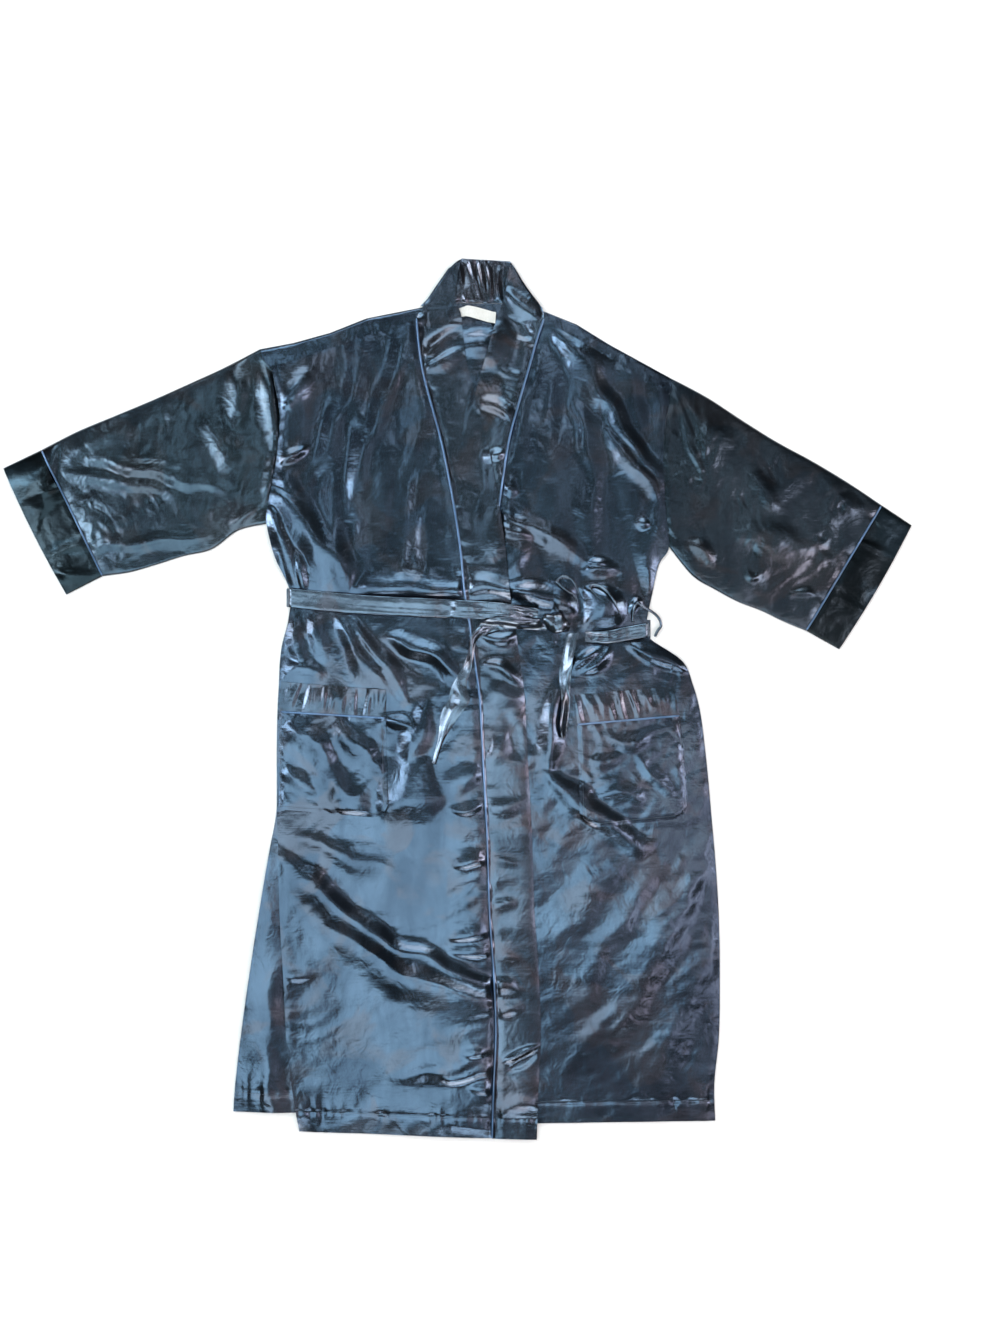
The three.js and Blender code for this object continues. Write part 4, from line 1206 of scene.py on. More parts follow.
@dataclass
class Body:
    """Back, shoulders, fronts, front bands and their piping."""

    tailor: Tailor
    cut: Cut = field(default_factory=Cut)
    row_step: float = 2.4
    band_width: float = 58.0
    hem_depth: float = 26.0
    loft: float = 1.6
    piping_width: float = 2.7

    BAND_TOPS = {
        Side.RIGHT: (((-12, 558), (-31, 531), (-46, 508)), ((4, 567), (0, 545), (-2, 518))),
        Side.LEFT: (((78, 552), (93, 530), (110, 507)), ((68, 563), (65, 540), (61, 520))),
    }
    PLEATS = {
        "pleat_edge_inner": (
            (153, 112), (156, 124), (152, 134), (141, 141), (131, 149), (130, 154), (139, 158),
            (148, 155), (155, 143), (162, 128), (170, 118),
        ),
        "pleat_edge_outer": (
            (200, 121), (187, 128), (176, 138), (172, 144), (178, 147), (188, 143), (198, 134),
            (205, 122), (212, 108), (216, 94),
        ),
    }
    CHEST = (Crumple(11, 96, 170, 34, 2.4), Crumple(12, 80, 90, 24, 0.6, True))
    SKIRT_OVER = (
        Crumple(21, 12, 120, 48, 0.7),
        Crumple(22, 20, 60, 26, 0.5, True),
        Crumple(23, 60, 26, 14, 0.12),
    )
    SKIRT_UNDER = (
        Crumple(31, 48, 90, 30, 0.7),
        Crumple(32, 52, 46, 18, 0.4, True),
        Crumple(33, 20, 26, 13, 0.25),
    )

    def back(self) -> None:
        """Lays the back: flat on the table, raised at its vent and behind the neck, which show."""
        rows = self.cut.seam_right.even_rows(0, LAST_ROW, 5.0)[1:]
        shares = np.linspace(0, 1, 140) ** 1.4
        right, left = self.cut.seam_right, self.cut.seam_left
        first = right.at(0.0), left.at(0.0)
        top_x = TOP_EDGE[0][0] + (TOP_EDGE[-1][0] - TOP_EDGE[0][0]) * shares
        top = np.stack([top_x, height_at(TOP_EDGE, top_x)], axis=-1)
        arch = top[:, 1] - (TOP_EDGE[0][1] + (TOP_EDGE[-1][1] - TOP_EDGE[0][1]) * shares)
        low = first[0] + (first[1] - first[0]) * shares[:, None]
        low[:, 1] += arch * 0.9
        down = [top] + [top + (low - top) * share for share in np.linspace(0.1, 1, 10)]
        for row in rows:
            a, b = right.at(row), left.at(row)
            line = a + (b - a) * shares[:, None]
            line[:, 1] += arch * 0.9 * max(0.0, 1 - row / UNDERARM_ROW)
            down.append(line)
        places = np.array(down)
        x, y = places[..., 0], places[..., 1]
        shown = np.clip((-150 - x) / 60, 0, 1) * np.clip((-150 - y) / 60, 0, 1)
        neck = _bell(x - 25, 60) * _bell(y - 470, 50)
        relief = fold_relief(FOLDS_BACK, x, y) + crumple_relief(self.SKIRT_OVER, x, y) * 0.5
        hem = self._hem(x, y, y - y[-1:], 91)
        z = 1.0 + np.clip(0.9 + relief + hem, 0.1, 9) * np.maximum(shown, neck)
        sheet = Sheet(x, y, z)
        self.tailor.cloth("back", sheet, Finish.SATIN, "satin", ["table"])

    def shoulders(self) -> None:
        """Lays the back's fold-over: its cloth comes over the top edge to the front."""
        first = SECTIONS[0]
        seams = {
            Side.RIGHT: (first.seam_right, first.over),
            Side.LEFT: (first.under, first.seam_left),
        }
        for side, ends in ((Side.RIGHT, (-255.0, -48.0)), (Side.LEFT, (111.0, 278.0))):
            across = np.linspace(*ends, 90)
            top = height_at(TOP_EDGE, across)
            low = height_at(seams[side], across) - 1.5
            v = np.linspace(0, 1, 14)[:, None]
            x = np.broadcast_to(across, (14, 90)).copy()
            y = top + (low - top) * v
            over = self.tailor.rest(x, y, 3, Tailor.THIN)
            roll = _arch(1 - np.minimum(v / 0.18, 1), 2)
            ripple = Crumple(61, 10, 60, 16, 0.5).height(x, y)
            pucker = Puckers(62 + side.value, 13, 7, 0.9).height(y - low, x)
            z = 0.7 + (over + 0.5 - 0.7) * roll + np.clip(ripple + pucker, -0.3, 2) * roll
            sheet = Sheet(x, y, z)
            name = f"shoulder_{side.word}"
            self.tailor.cloth(name, sheet, Finish.SATIN, "satin", ["back"], nodes=["back"])

    def _hem(self, x: Array, y: Array, above: Array, seed: int) -> Array:
        """The hem's turned-up depth, gathered a little along its row of stitches.

        Args:
            x: Places across.
            y: Places up.
            above: How far each place is above the hem.
            seed: Seed of its puckers.

        Returns:
            Heights to add.
        """
        line = np.abs(above - self.hem_depth)
        turned = 0.35 * (1 - _rise((above - self.hem_depth + 2) / 4))
        puckers = Puckers(seed, 10, 8, 1.8).height(line, x)
        return turned + puckers - 0.7 * _bell(line, 2.2)

    def front(self, side: Side) -> None:
        """Lays one front, from its side to its piped edge.

        Args:
            side: Whose front.
        """
        outer, edge = self.cut.side(side), self.cut.edge(side)
        rows = self.cut.front_line(side, 0.6).even_rows(0, LAST_ROW, self.row_step)
        even = np.linspace(0, 1, 88)
        shares = even - 0.085 * np.sin(2 * np.pi * even)
        a, b = outer.at(rows)[:, None, :], edge.at(rows)[:, None, :]
        width = np.linalg.norm(b - a, axis=-1)
        inset = 0.7 / width[..., None]
        places = a + (b - a) * np.clip(shares[None, :, None], inset, 1 - inset)
        x, y = places[..., 0], places[..., 1]
        y = y - 0.8 * np.clip(1 - rows[:, None] * 4, 0, 1)
        to_edge = (1 - shares[None, :]) * width
        to_side = shares[None, :] * width
        along = np.broadcast_to(edge.at(rows)[:, 1:], x.shape)
        folds = FOLDS_OVER if side is Side.RIGHT else FOLDS_UNDER
        pressed = self.cut.pressed(x, y)
        skirt = self.SKIRT_OVER if side is Side.RIGHT else self.SKIRT_UNDER
        lower = _rise((150 - y) / 100)
        crumple = crumple_relief(self.CHEST, x, y) * (1 - lower)
        crumple = crumple + crumple_relief(skirt, x, y) * lower
        seam = 0.35 + 0.65 * (1 - _bell(to_edge, 7.0)) * (1 - 0.4 * _bell(to_side, 6.0))
        arm = Puckers(71 + side.value, 22, 9, 0.3).height(to_side, y)
        arm = arm * np.clip((y - 190) / 30, 0, 1)
        puckers = Puckers(81 + side.value, 26, 22, 1.5).height(to_edge, along) + arm
        puckers = puckers + self._hem(x, y, y - y[-1:], 93 + side.value)
        shape = (self.loft + fold_relief(folds, x, y)) * pressed * seam
        z = self.tailor.rest(x, y, 12 if side is Side.LEFT else 34, Tailor.THIN)
        if side is Side.RIGHT:
            by_vent = _bell(to_side, 45) * _rise((-150 - y) / 60)
            z = z + (self.tailor.rest(x, y, 16, Tailor.THIN) - z) * by_vent
        z = z + np.maximum(shape + crumple * pressed * seam + puckers * pressed, 0.05)
        name = f"front_{side.word}"
        on = ["back"] if side is Side.LEFT else ["back", "front_left"]
        self.tailor.cloth(name, Sheet(x, y, z), Finish.SATIN, "satin", on)

    def band_places(self, side: Side, rows: Array, shares: Array) -> Array:
        """Places on a front band: from its piping, `band_width` square to it.

        Args:
            side: Whose front.
            rows: Row numbers, below 0 where the band runs on over the collar.
            shares: Shares of the way from the piping to the free edge.

        Returns:
            Places, a row for each row number.
        """
        edge = self.cut.edge(side)
        whole = np.arange(LAST_ROW + 1, dtype=float)
        step = edge.at(np.minimum(whole + 0.3, LAST_ROW)) - edge.at(np.maximum(whole - 0.3, 0))
        square = np.stack([-step[:, 1], step[:, 0]], axis=-1)
        square = square / np.linalg.norm(step, axis=1, keepdims=True)
        free = edge.points - side.value * square * self.band_width
        piped_top, free_top = self.BAND_TOPS[side]
        piped = Curve([*piped_top, *edge.points])
        loose = Curve([*free_top, *free])
        rows = rows + len(piped_top)
        return _between(piped.at(rows), loose.at(rows), shares)

    def band(self, side: Side) -> None:
        """Lays one front band.

        Args:
            side: Whose front.
        """
        tops = len(self.BAND_TOPS[side][0])
        edge = self.cut.edge(side)
        head = np.linspace(-tops, 0, 32, endpoint=False)
        rows = np.concatenate([head, edge.even_rows(0, LAST_ROW, self.row_step)])
        even = np.linspace(0, 1, 27)
        shares = 0.012 + 0.988 * even**1.25
        places = self.band_places(side, rows, shares)
        x, y = places[..., 0], places[..., 1]
        away = shares[None, :] * self.band_width
        along = np.broadcast_to(y[:, :1], x.shape)
        over = side is Side.RIGHT
        folds = FOLDS_BAND if over else FOLDS_BAND_UNDER
        pressed = self.cut.pressed(x, y)
        neck = np.clip(-rows[:, None] / tops, 0, 1)
        seam = 0.3 + 0.7 * (1 - _bell(away, 6.0))
        waves = Crumple(41 if over else 42, 8, 60, 26, 0.6).height(x, y)
        puckers = Puckers(43 if over else 44, 15, 9, 1.6).height(away, along)
        puckers = puckers * (0.25 + 0.75 * _rise((y - 100) / 60))
        puckers = puckers + Puckers(47, 34, 30, 0.8).height(away, along)
        waves = waves * (0.35 + 0.65 * _rise((150 - y) / 100))
        puckers = puckers + self._hem(x, y, y - y[-1:], 97) * (1 - 0.4 * neck)
        lifted = (1.1 + fold_relief(folds, x, y)) * pressed * seam
        z = self.tailor.rest(x, y, 5 if over else 14, Tailor.DOUBLE)
        if over:
            crossing = _bell(y - 205, 60)
            smooth = self.tailor.rest(x, y, 16, Tailor.DOUBLE)
            z = z + (np.maximum(smooth, z) - z) * crossing
            beside = self.tailor.relief.under(x[:, 0], y[:, 0], 4.0)
            beside = _smoothed(beside, 15)
            stiff = _rise(rows / 2)[:, None] * (1 - 0.3 * shares[None, :] ** 8)
            z = z + np.maximum(beside[:, None] + 0.4 - z, 0) * stiff
        z = z + np.maximum(lifted + (waves + puckers * (1 - neck)) * pressed, 0.05)
        on = ["back", "collar"] + ([] if not over else ["front_left", "band_left"])
        name = f"band_{side.word}"
        sheet = Sheet(x, y, z)
        # The under band is in a lighter copy of the facing satin, painted light that sets off the
        # over band's edge.
        finish = Finish.SATIN_BAND if over else Finish.SATIN_BAND_UNDER_LIT
        self.tailor.cloth(name, sheet, finish, "satin_band", on, Tailor.DOUBLE)

    def piping(self, side: Side) -> None:
        """Lays the piping between a front and its band.

        Args:
            side: Whose front.
        """
        edge = self.cut.edge(side)
        path = edge.at(edge.even_rows(0, LAST_ROW, 2.6))
        line = np.column_stack([path, self.tailor.level(path, 2) + 0.55])
        self.tailor.cord(f"piping_front_{side.word}", line, self.piping_width, 2.2)

    def pleat_edges(self) -> None:
        """Lays the sharp folded edges of the left front's cloth, bunched over the belt.

        Each is a thin roll, half sunk in the front, that thins out at both ends, in the belt's
        lighter satin as a painted highlight along the folded edge.
        """
        for name, points in self.PLEATS.items():
            curve = Curve(points)
            path = curve.at(curve.even_rows(0, len(points) - 1, 1.3))
            line = np.column_stack([path, self.tailor.level(path, 4) + 0.3])
            sheet = tube_sheet(line, 4.6, 3.2, 14, 0.45)
            mesh = grid_mesh(name, sheet, True)
            # Painted highlight: the lighter belt satin on the folded edges.
            self.tailor.piece(name, mesh, Finish.SATIN_BELT_AND_EDGE_HIGHLIGHT, "satin")
            self.tailor.relief.lay(sheet.x, sheet.y, sheet.z)

    def build(self, side: Side) -> None:
        """Lays a front, its band and the piping between them."""
        self.front(side)
        self.band(side)
        self.piping(side)


# ---- sleeves ------------------------------------------------------------------------------


@dataclass
class Sleeve:
    """A sleeve and its cuff, each a tube that lies flat, with piping between them."""

    tailor: Tailor
    cut: Cut
    side: Side
    middle: float = 1.6
    high: float = 3.0

    SLEEVES = {
        Side.RIGHT: (
            ((-256, 454), (-248, 227)), ((-302, 430), (-285, 218)), ((-350, 408), (-319, 194)),
            ((-397, 387), (-356, 185)), ((-445, 367), (-391, 174)), ((-493, 347), (-426, 164)),
            ((-540, 323), (-461, 159)),
        ),
        Side.LEFT: (
            ((279, 415), (275, 197)), ((324, 391), (305, 160)), ((370, 361), (334, 142)),
            ((415, 333), (364, 126)), ((461, 308), (395, 114)), ((506, 281), (424, 100)),
            ((551, 251), (453, 88)),
        ),
    }
    CUFF_ENDS = {
        Side.RIGHT: ((-590, 299), (-508, 135)),
        Side.LEFT: ((590, 225), (496, 64)),
    }
    CRUMPLES = (
        Crumple(51, 30, 80, 44, 1.0),
        Crumple(52, 65, 44, 26, 0.45, True),
        Crumple(53, 120, 26, 14, 0.16, True),
    )
    CUFF_CRUMPLES = (Crumple(55, 40, 60, 30, 0.8), Crumple(56, 110, 40, 20, 0.25, True))
    CRINKLE = Crumple(54, 100, 19, 12, 0.85, True)
    # Middle and reach of each patch of fine wrinkles.
    CRINKLED = {
        Side.RIGHT: ((-296, 338, 24), (-465, 224, 20), (-488, 252, 14), (-370, 378, 20)),
        Side.LEFT: (
            (322, 345, 38), (300, 290, 20), (371, 254, 16), (391, 206, 26), (496, 255, 22),
            (480, 196, 24), (410, 300, 14),
        ),
    }

    def _ring(self, upper: Array, lower: Array, bulge: Array, high: Array) -> Sheet:
        """Rings of a flattened tube.

        Each ring runs over the top from its upper edge to its lower one and back under. Both
        sides meet at the middle height on the edges, by the root of 1 - |2u - 1| ** 6.

        Args:
            upper: Places of the upper edge.
            lower: Places of the lower edge.
            bulge: How far each share of the top stands off the straight line.
            high: Heights of the top.

        Returns:
            The rings, whose rows close on themselves.
        """
        count = high.shape[1]
        u = np.linspace(0, 1, count)
        back_u = np.linspace(1, 0, 32)[1:-1]
        full, flat = _arch(2 * u - 1, 6), _arch(2 * back_u - 1, 6)
        at = np.interp(back_u, u, np.arange(count)).astype(int)
        top = _between(upper, lower, u) + bulge
        under = _between(upper, lower, back_u) + bulge[:, at]
        z_top = self.middle + (high - self.middle) * full[None, :]
        z_under = np.broadcast_to(self.middle - (self.middle - 0.15) * flat, under.shape[:2])
        places = np.concatenate([top, under], axis=1)
        return Sheet(places[..., 0], places[..., 1], np.concatenate([z_top, z_under], axis=1))

    def _heights(self, places: Array, crumples: Sequence[Crumple], around: Array) -> Array:
        """The top's height from its folds and crumples, and puckers at the sewn ends.

        Args:
            places: Where the top's points are in plan.
            crumples: The piece's own wrinkles.
            around: What its puckers add.

        Returns:
            Heights in millimetres.
        """
        x, y = places[..., 0], places[..., 1]
        shape = fold_relief(FOLDS_SLEEVES, x, y) + crumple_relief(crumples, x, y)
        return self.high + np.clip(shape + around, -0.9, 6)

    def _crinkled(self, places: Array) -> Array:
        """Fine sharp wrinkles, in patches where the cloth was bunched before.

        Args:
            places: Where the top's points are in plan.

        Returns:
            Heights to add.
        """
        x, y = places[..., 0], places[..., 1]
        patches = self.CRINKLED[self.side]
        share = sum(_bell(np.hypot(x - px, y - py), wide) for px, py, wide in patches)
        return self.CRINKLE.height(x, y) * np.minimum(share, 1)

    def build(self) -> None:
        """Makes the sleeve, its cuff and the piping."""
        table = self.SLEEVES[self.side]
        upper, lower = Curve([r[0] for r in table]), Curve([r[1] for r in table])
        rows = Curve([r[0] for r in table]).even_rows(0, len(table) - 1, 2.7)
        u = np.linspace(0, 1, 88)
        seam = self.cut.seam_right if self.side is Side.RIGHT else self.cut.seam_left
        arm = np.vstack([[table[0][0]], seam.at(np.linspace(0, UNDERARM_ROW, 60))])
        arm = arm + [self.side.value * 0.6, 0]
        first, last = arm[0], arm[-1]
        share = ((arm - first) @ (last - first)) / ((last - first) @ (last - first))
        off = arm - (first + (last - first) * share[:, None])
        bow = np.stack([np.interp(u, share, off[:, k]) for k in (0, 1)], axis=-1)
        fade = (1 - rows / rows[-1]) ** 2
        bulge = bow[None] * fade[:, None, None]
        a, b = upper.at(rows), lower.at(rows)
        top = _between(a, b, u) + bulge
        steps = np.linalg.norm(np.diff(top, axis=0), axis=-1)
        from_arm = np.vstack([np.zeros((1, 88)), np.cumsum(steps, axis=0)])
        to_cuff = from_arm[-1:] - from_arm
        along = u[None, :] * np.linalg.norm(b - a, axis=1)[:, None]
        puckers = Puckers(101, 18, 12, 0.8).height(from_arm, along)
        puckers = puckers + Puckers(102, 12, 10, 1.0).height(to_cuff, along)
        puckers = puckers - 0.7 * _bell(from_arm, 4) - 0.3 * _bell(to_cuff, 5)
        high = self._heights(top, self.CRUMPLES, puckers + self._crinkled(top))
        sheet = self._ring(a, b, bulge, high)
        around = 2 * float(np.linalg.norm(b - a, axis=1).mean())
        long = float(from_arm[-1].mean())
        name = f"sleeve_{self.side.word}"
        # The sleeve's satin is a darker copy of the body's, painted shade.
        self.tailor.tube(name, sheet, Finish.SATIN_SLEEVE_SHADED, "satin", around, long)
        self._cuff(a[-1], b[-1])

    def _cuff(self, upper: Array, lower: Array) -> None:
        """Makes the cuff, from the sleeve's end to its own open one, and the piping.

        Args:
            upper: The sleeve's upper corner at its end.
            lower: Its lower corner there.
        """
        ends = [np.asarray(p, float) for p in self.CUFF_ENDS[self.side]]
        t = np.linspace(0.01, 1, 24)[:, None]
        a, b = upper + (ends[0] - upper) * t, lower + (ends[1] - lower) * t
        u = np.linspace(0, 1, 88)
        out = (ends[0] + ends[1] - upper - lower) / 2
        deep = np.linalg.norm(out)
        arch = np.sin(np.pi * u)[None, :, None] * t[:, :, None] * (out / deep) * 3.0
        top = _between(a, b, u) + arch
        away = t * deep
        along = u[None, :] * np.linalg.norm(b - a, axis=1)[:, None]
        puckers = Puckers(111, 16, 15, 2.4).height(away, along) - 0.7 * _bell(away, 4)
        high = self._heights(top, self.CUFF_CRUMPLES, puckers) * 0.9
        sheet = self._ring(a, b, arch, high)
        around = 2 * float(np.linalg.norm(b - a, axis=1).mean())
        name = f"cuff_{self.side.word}"
        # The cuff's satin is a darker copy of the body's, painted shade, with blue patches of
        # painted reflection.
        self.tailor.tube(name, sheet, Finish.SATIN_CUFF_SHADED, "satin_band", around, deep)
        line = upper + (lower - upper) * np.linspace(0.004, 0.996, 70)[:, None]
        path = np.column_stack([line, self.tailor.level(line, 2) + 0.4])
        self.tailor.cord(f"piping_cuff_{self.side.word}", path, 2.5, 2.0)


# ---- pockets ------------------------------------------------------------------------------


@dataclass
class Pocket:
    """A patch pocket: a bag with rounded feet, a gathered band and piping between them."""

    tailor: Tailor
    cut: Cut
    side: Side
    corner: float = 0.16

    STITCH_INSET = 0.022
    # Shares of the front's width from its side that each pocket covers.
    SPANS = {Side.RIGHT: (0.012, 0.533), Side.LEFT: (0.095, 0.553)}
    ROUNDED = {Side.RIGHT: (False, True), Side.LEFT: (True, True)}
    FOLDS = {
        Side.RIGHT: (
            Fold((-226, -40), (-176, -48), (-164, -100), 4.6, 13, 0.7),
            Fold((-178, -70), (-156, -124), (-118, -154), 4.6, 14, 0.7),
            Fold((-160, -26), (-130, -72), (-92, -90), 4.4, 13, 0.8),
            Fold((-230, -96), (-200, -106), (-182, -124), 2.6, 12),
        ),
        Side.LEFT: (
            Fold((168, -80), (190, -96), (212, -70), 2.2, 9),
            Fold((188, -128), (214, -108), (238, -132), 2.4, 8),
            Fold((232, -70), (250, -100), (280, -130), 2.2, 10),
            Fold((196, -50), (222, -66), (246, -44), 2.0, 9),
            Fold((176, -100), (168, -70), (176, -44), -1.6, 8),
        ),
    }

    def _places(self, rows: Array, across: Array) -> Array:
        """Places on the front at row numbers and shares across, of one shape."""
        a, b = self.cut.side(self.side).at(rows), self.cut.edge(self.side).at(rows)
        return a + (b - a) * across[..., None]

    def build(self) -> None:
        """Lays the bag, the band and the piping, and stitches the bag down."""
        low, top = self.SPANS[self.side]
        u = np.linspace(0, 1, 56)
        v = np.linspace(0, 1, 56)
        feet = self.ROUNDED[self.side]
        into = [np.clip((self.corner - away) / self.corner, 0, 1) for away in (u, 1 - u)]
        lift = sum(r * (1 - np.sqrt(1 - np.minimum(c, 0.97) ** 2)) for r, c in zip(feet, into))
        foot = POCKET_FOOT_ROW - 0.36 * lift
        rows = (POCKET_SEAM_ROW + 0.02) + (foot - POCKET_SEAM_ROW)[None, :] * v[:, None]
        across = np.broadcast_to(low + (top - low) * u, rows.shape)
        places = self._places(rows, across)
        x, y = places[..., 0], places[..., 1]
        width = np.abs(x[:, -1:] - x[:, :1])
        rim = np.minimum(np.minimum(u, 1 - u)[None, :] * width, (1 - v)[:, None] * 150)
        seed = 121 + self.side.value
        crumples = (Crumple(seed, 60, 50, 26, 0.8), Crumple(seed + 5, 20, 26, 14, 0.4, True))
        shape = crumple_relief(crumples, x, y) + fold_relief(self.FOLDS[self.side], x, y)
        puckers = Puckers(seed + 9, 9, 7, 1.0).height(rim, x + y)
        puckers = puckers + Puckers(seed + 11, 11, 10, 1.4).height(v[:, None] * 150, x)
        inside = 1 - _bell(rim, 5)
        z = self.tailor.rest(x, y, 2, Tailor.THIN) + 0.2
        z = z + np.clip((0.8 + shape) * inside + puckers * (0.4 + 0.6 * inside), 0, 7)
        word = self.side.word
        front = [f"front_{word}"]
        sheet = Sheet(x, y, z)
        self.tailor.cloth(f"pocket_{word}", sheet, Finish.SATIN, "satin", front, lay=False)
        self._band(low, top, front)
        self.tailor.relief.lay(x, y, z)
        across_seam = low + (top - low) * np.linspace(0.004, 0.996, 70)
        line = self._places(np.full(70, float(POCKET_SEAM_ROW)), across_seam)
        path = np.column_stack([line, self.tailor.level(line, 3) + 0.3])
        self.tailor.cord(f"piping_pocket_{word}", path, 2.4, 1.9)
        near, far = np.full(60, self.STITCH_INSET), np.full(60, 1 - self.STITCH_INSET)
        edge_u = np.concatenate([near, np.linspace(near[0], far[0], 60), far])
        down, up = np.linspace(0.04, 0.97, 60), np.linspace(0.97, 0.04, 60)
        edge_v = np.concatenate([down, np.full(60, 0.975), up])
        last = len(u) - 1
        i, j = (edge_u * last).astype(int), (edge_v * last).astype(int)
        sewn = np.column_stack([x[j, i], y[j, i], z[j, i]])
        Stitches(self.tailor).run(f"stitch_pocket_{word}", sewn)

    def _band(self, low: float, top: float, front: list[str]) -> None:
        """Lays the gathered band: uneven upright pleats, flat along its upper hem.

        Args:
            low: Share of the front's width at which it starts.
            top: Share at which it ends.
            front: What it rests on.
        """
        u = np.linspace(0, 1, 120)
        rows = np.linspace(POCKET_TOP_ROW, POCKET_SEAM_ROW - 0.02, 18)[:, None] + 0 * u
        places = self._places(rows, np.broadcast_to(low + (top - low) * u, rows.shape))
        x, y = places[..., 0], places[..., 1]
        seed = 141 + self.side.value
        wave = Noise(seed).at(u[None, :] * 7 + rows * 0.25, rows * 0.4)
        sharp = Noise(seed + 3).at(u[None, :] * 20, rows * 0.7)
        down = rows - POCKET_TOP_ROW
        pleats = _ridged(wave, 0.55, 1.5, 0.015) * 3.0 + sharp * 0.35
        fade = 0.35 + 0.65 * np.sin(np.pi * np.clip(down * 0.95 + 0.08, 0, 1))
        z = self.tailor.rest(x, y, 2, Tailor.THIN) + 0.5 + np.clip(pleats * fade, -0.3, 4)
        name = f"pocket_band_{self.side.word}"
        sheet = Sheet(x, y, z)
        self.tailor.cloth(name, sheet, Finish.SATIN_BAND, "satin_band", front)


# ---- neck ---------------------------------------------------------------------------------


@dataclass
class Neck:
    """The collar behind the neck, and the bare label on its seam."""

    tailor: Tailor

    RIGHT = ((6, 571.7), (-11, 561), (-33, 532), (-48, 509.5))
    LEFT = ((68, 568), (79, 555), (95, 531), (111, 506.5))
    LABEL_TOP = ((-6, 504), (7, 508), (15, 510), (33, 506), (50, 501))
    LABEL_FOOT = ((-6, 495), (7, 496), (14, 496), (32, 491), (49, 486))

    def collar(self) -> None:
        """Lays the collar: uneven upright pleats from its folded top to the neck seam."""
        v = np.linspace(0, 3, 46)
        u = np.linspace(0, 1, 130)
        places = _between(Curve(self.RIGHT).at(v), Curve(self.LEFT).at(v), u)
        x, y = places[..., 0], places[..., 1].copy()
        seam = np.maximum(height_at(TOP_EDGE, x), y[-1:])
        down = (v / 3)[:, None] ** 2
        y = y + (seam + 0.4 + 30 * (1 - v / 3)[:, None] - y) * down
        noise, fine = Noise(161), Noise(162)
        wave = noise.at((x + (y - 540) * 0.12) / 13, v[:, None] * 0.5)
        wave = _ridged(wave, 0.55, 1.5, 0.01)
        ripple = fine.at(x / 7.0, v[:, None] * 0.9 + 4)
        middle = _bell(x - 26, 46)
        top = _arch(1 - np.minimum(v / 0.25, 1), 2)[:, None]
        z = 1.1 + (1.4 + (wave * 2.6 + ripple * 0.7) * middle) * (0.25 + 0.75 * top)
        z = z - _bell(y - seam, 3)
        sheet = Sheet(x, y, np.maximum(z, 1.0))
        self.tailor.cloth("collar", sheet, Finish.SATIN_BAND, "satin_band", ["table"], 0.9)

    def label(self) -> None:
        """Lays the label: a bare woven tab, a little bowed, stitched at both ends."""
        top, foot = Curve(self.LABEL_TOP), Curve(self.LABEL_FOOT)
        u = np.linspace(0, 4, 50)
        v = np.linspace(0, 1, 16)[:, None, None]
        places = top.at(u) + (foot.at(u) - top.at(u)) * v
        x, y = places[..., 0], places[..., 1]
        bow = 1.2 * np.sin(np.pi * u / 4)[None, :] + 0.5 * np.sin(np.pi * v[..., 0])
        z = self.tailor.rest(x, y, 4, 0.5) + 0.4 + bow + Crumple(171, 20, 14, 8, 0.25).height(x, y)
        sheet = Sheet(x, y, z)
        self.tailor.cloth("label", sheet, Finish.LABEL, "label", ["back"], 0.5)


# ---- belt ---------------------------------------------------------------------------------


@dataclass(frozen=True)
class TailSection:
    """A free end of the belt at one place: its two edges, and how far each is lifted."""

    left: Point
    right: Point
    lift_left: float = 0.0
    lift_right: float = 0.0


TAIL_RIGHT = (
    TailSection((118, 101), (116, 88), 2, 0),
    TailSection((88, 104), (88, 90), 1, 1),
    TailSection((57, 105), (57, 89), 1, 0),
    TailSection((37, 101), (41, 85), 2, 0),
    TailSection((19, 84), (25, 75), 4, 1),
    TailSection((13, 57), (21, 55), 1, 2),
    TailSection((5, 38), (18, 38), 0, 2),
    TailSection((-7, 16), (12, 18), 0, 1.5),
    TailSection((-12, -2), (16, -3), 0, 3),
    TailSection((-21, -20), (5, -19), 0, 2.4),
    TailSection((-25, -51), (-16, -51), 0, 0.7),
    TailSection((-33, -83), (-28, -85), 0, 0.3),
)
TAIL_LEFT = (
    TailSection((142, 84), (158, 86), 0, 3),
    TailSection((136, 57), (151, 57), 0, 2.4),
    TailSection((132, 33), (148, 36), 0, 2.6),
    TailSection((134, 11), (146, 11), 0, 2),
    TailSection((135, -6), (146, -7), 4, 0),
    TailSection((133, -36), (142, -37), 5, 0),
    TailSection((135, -51), (140, -51), 1, 0),
)


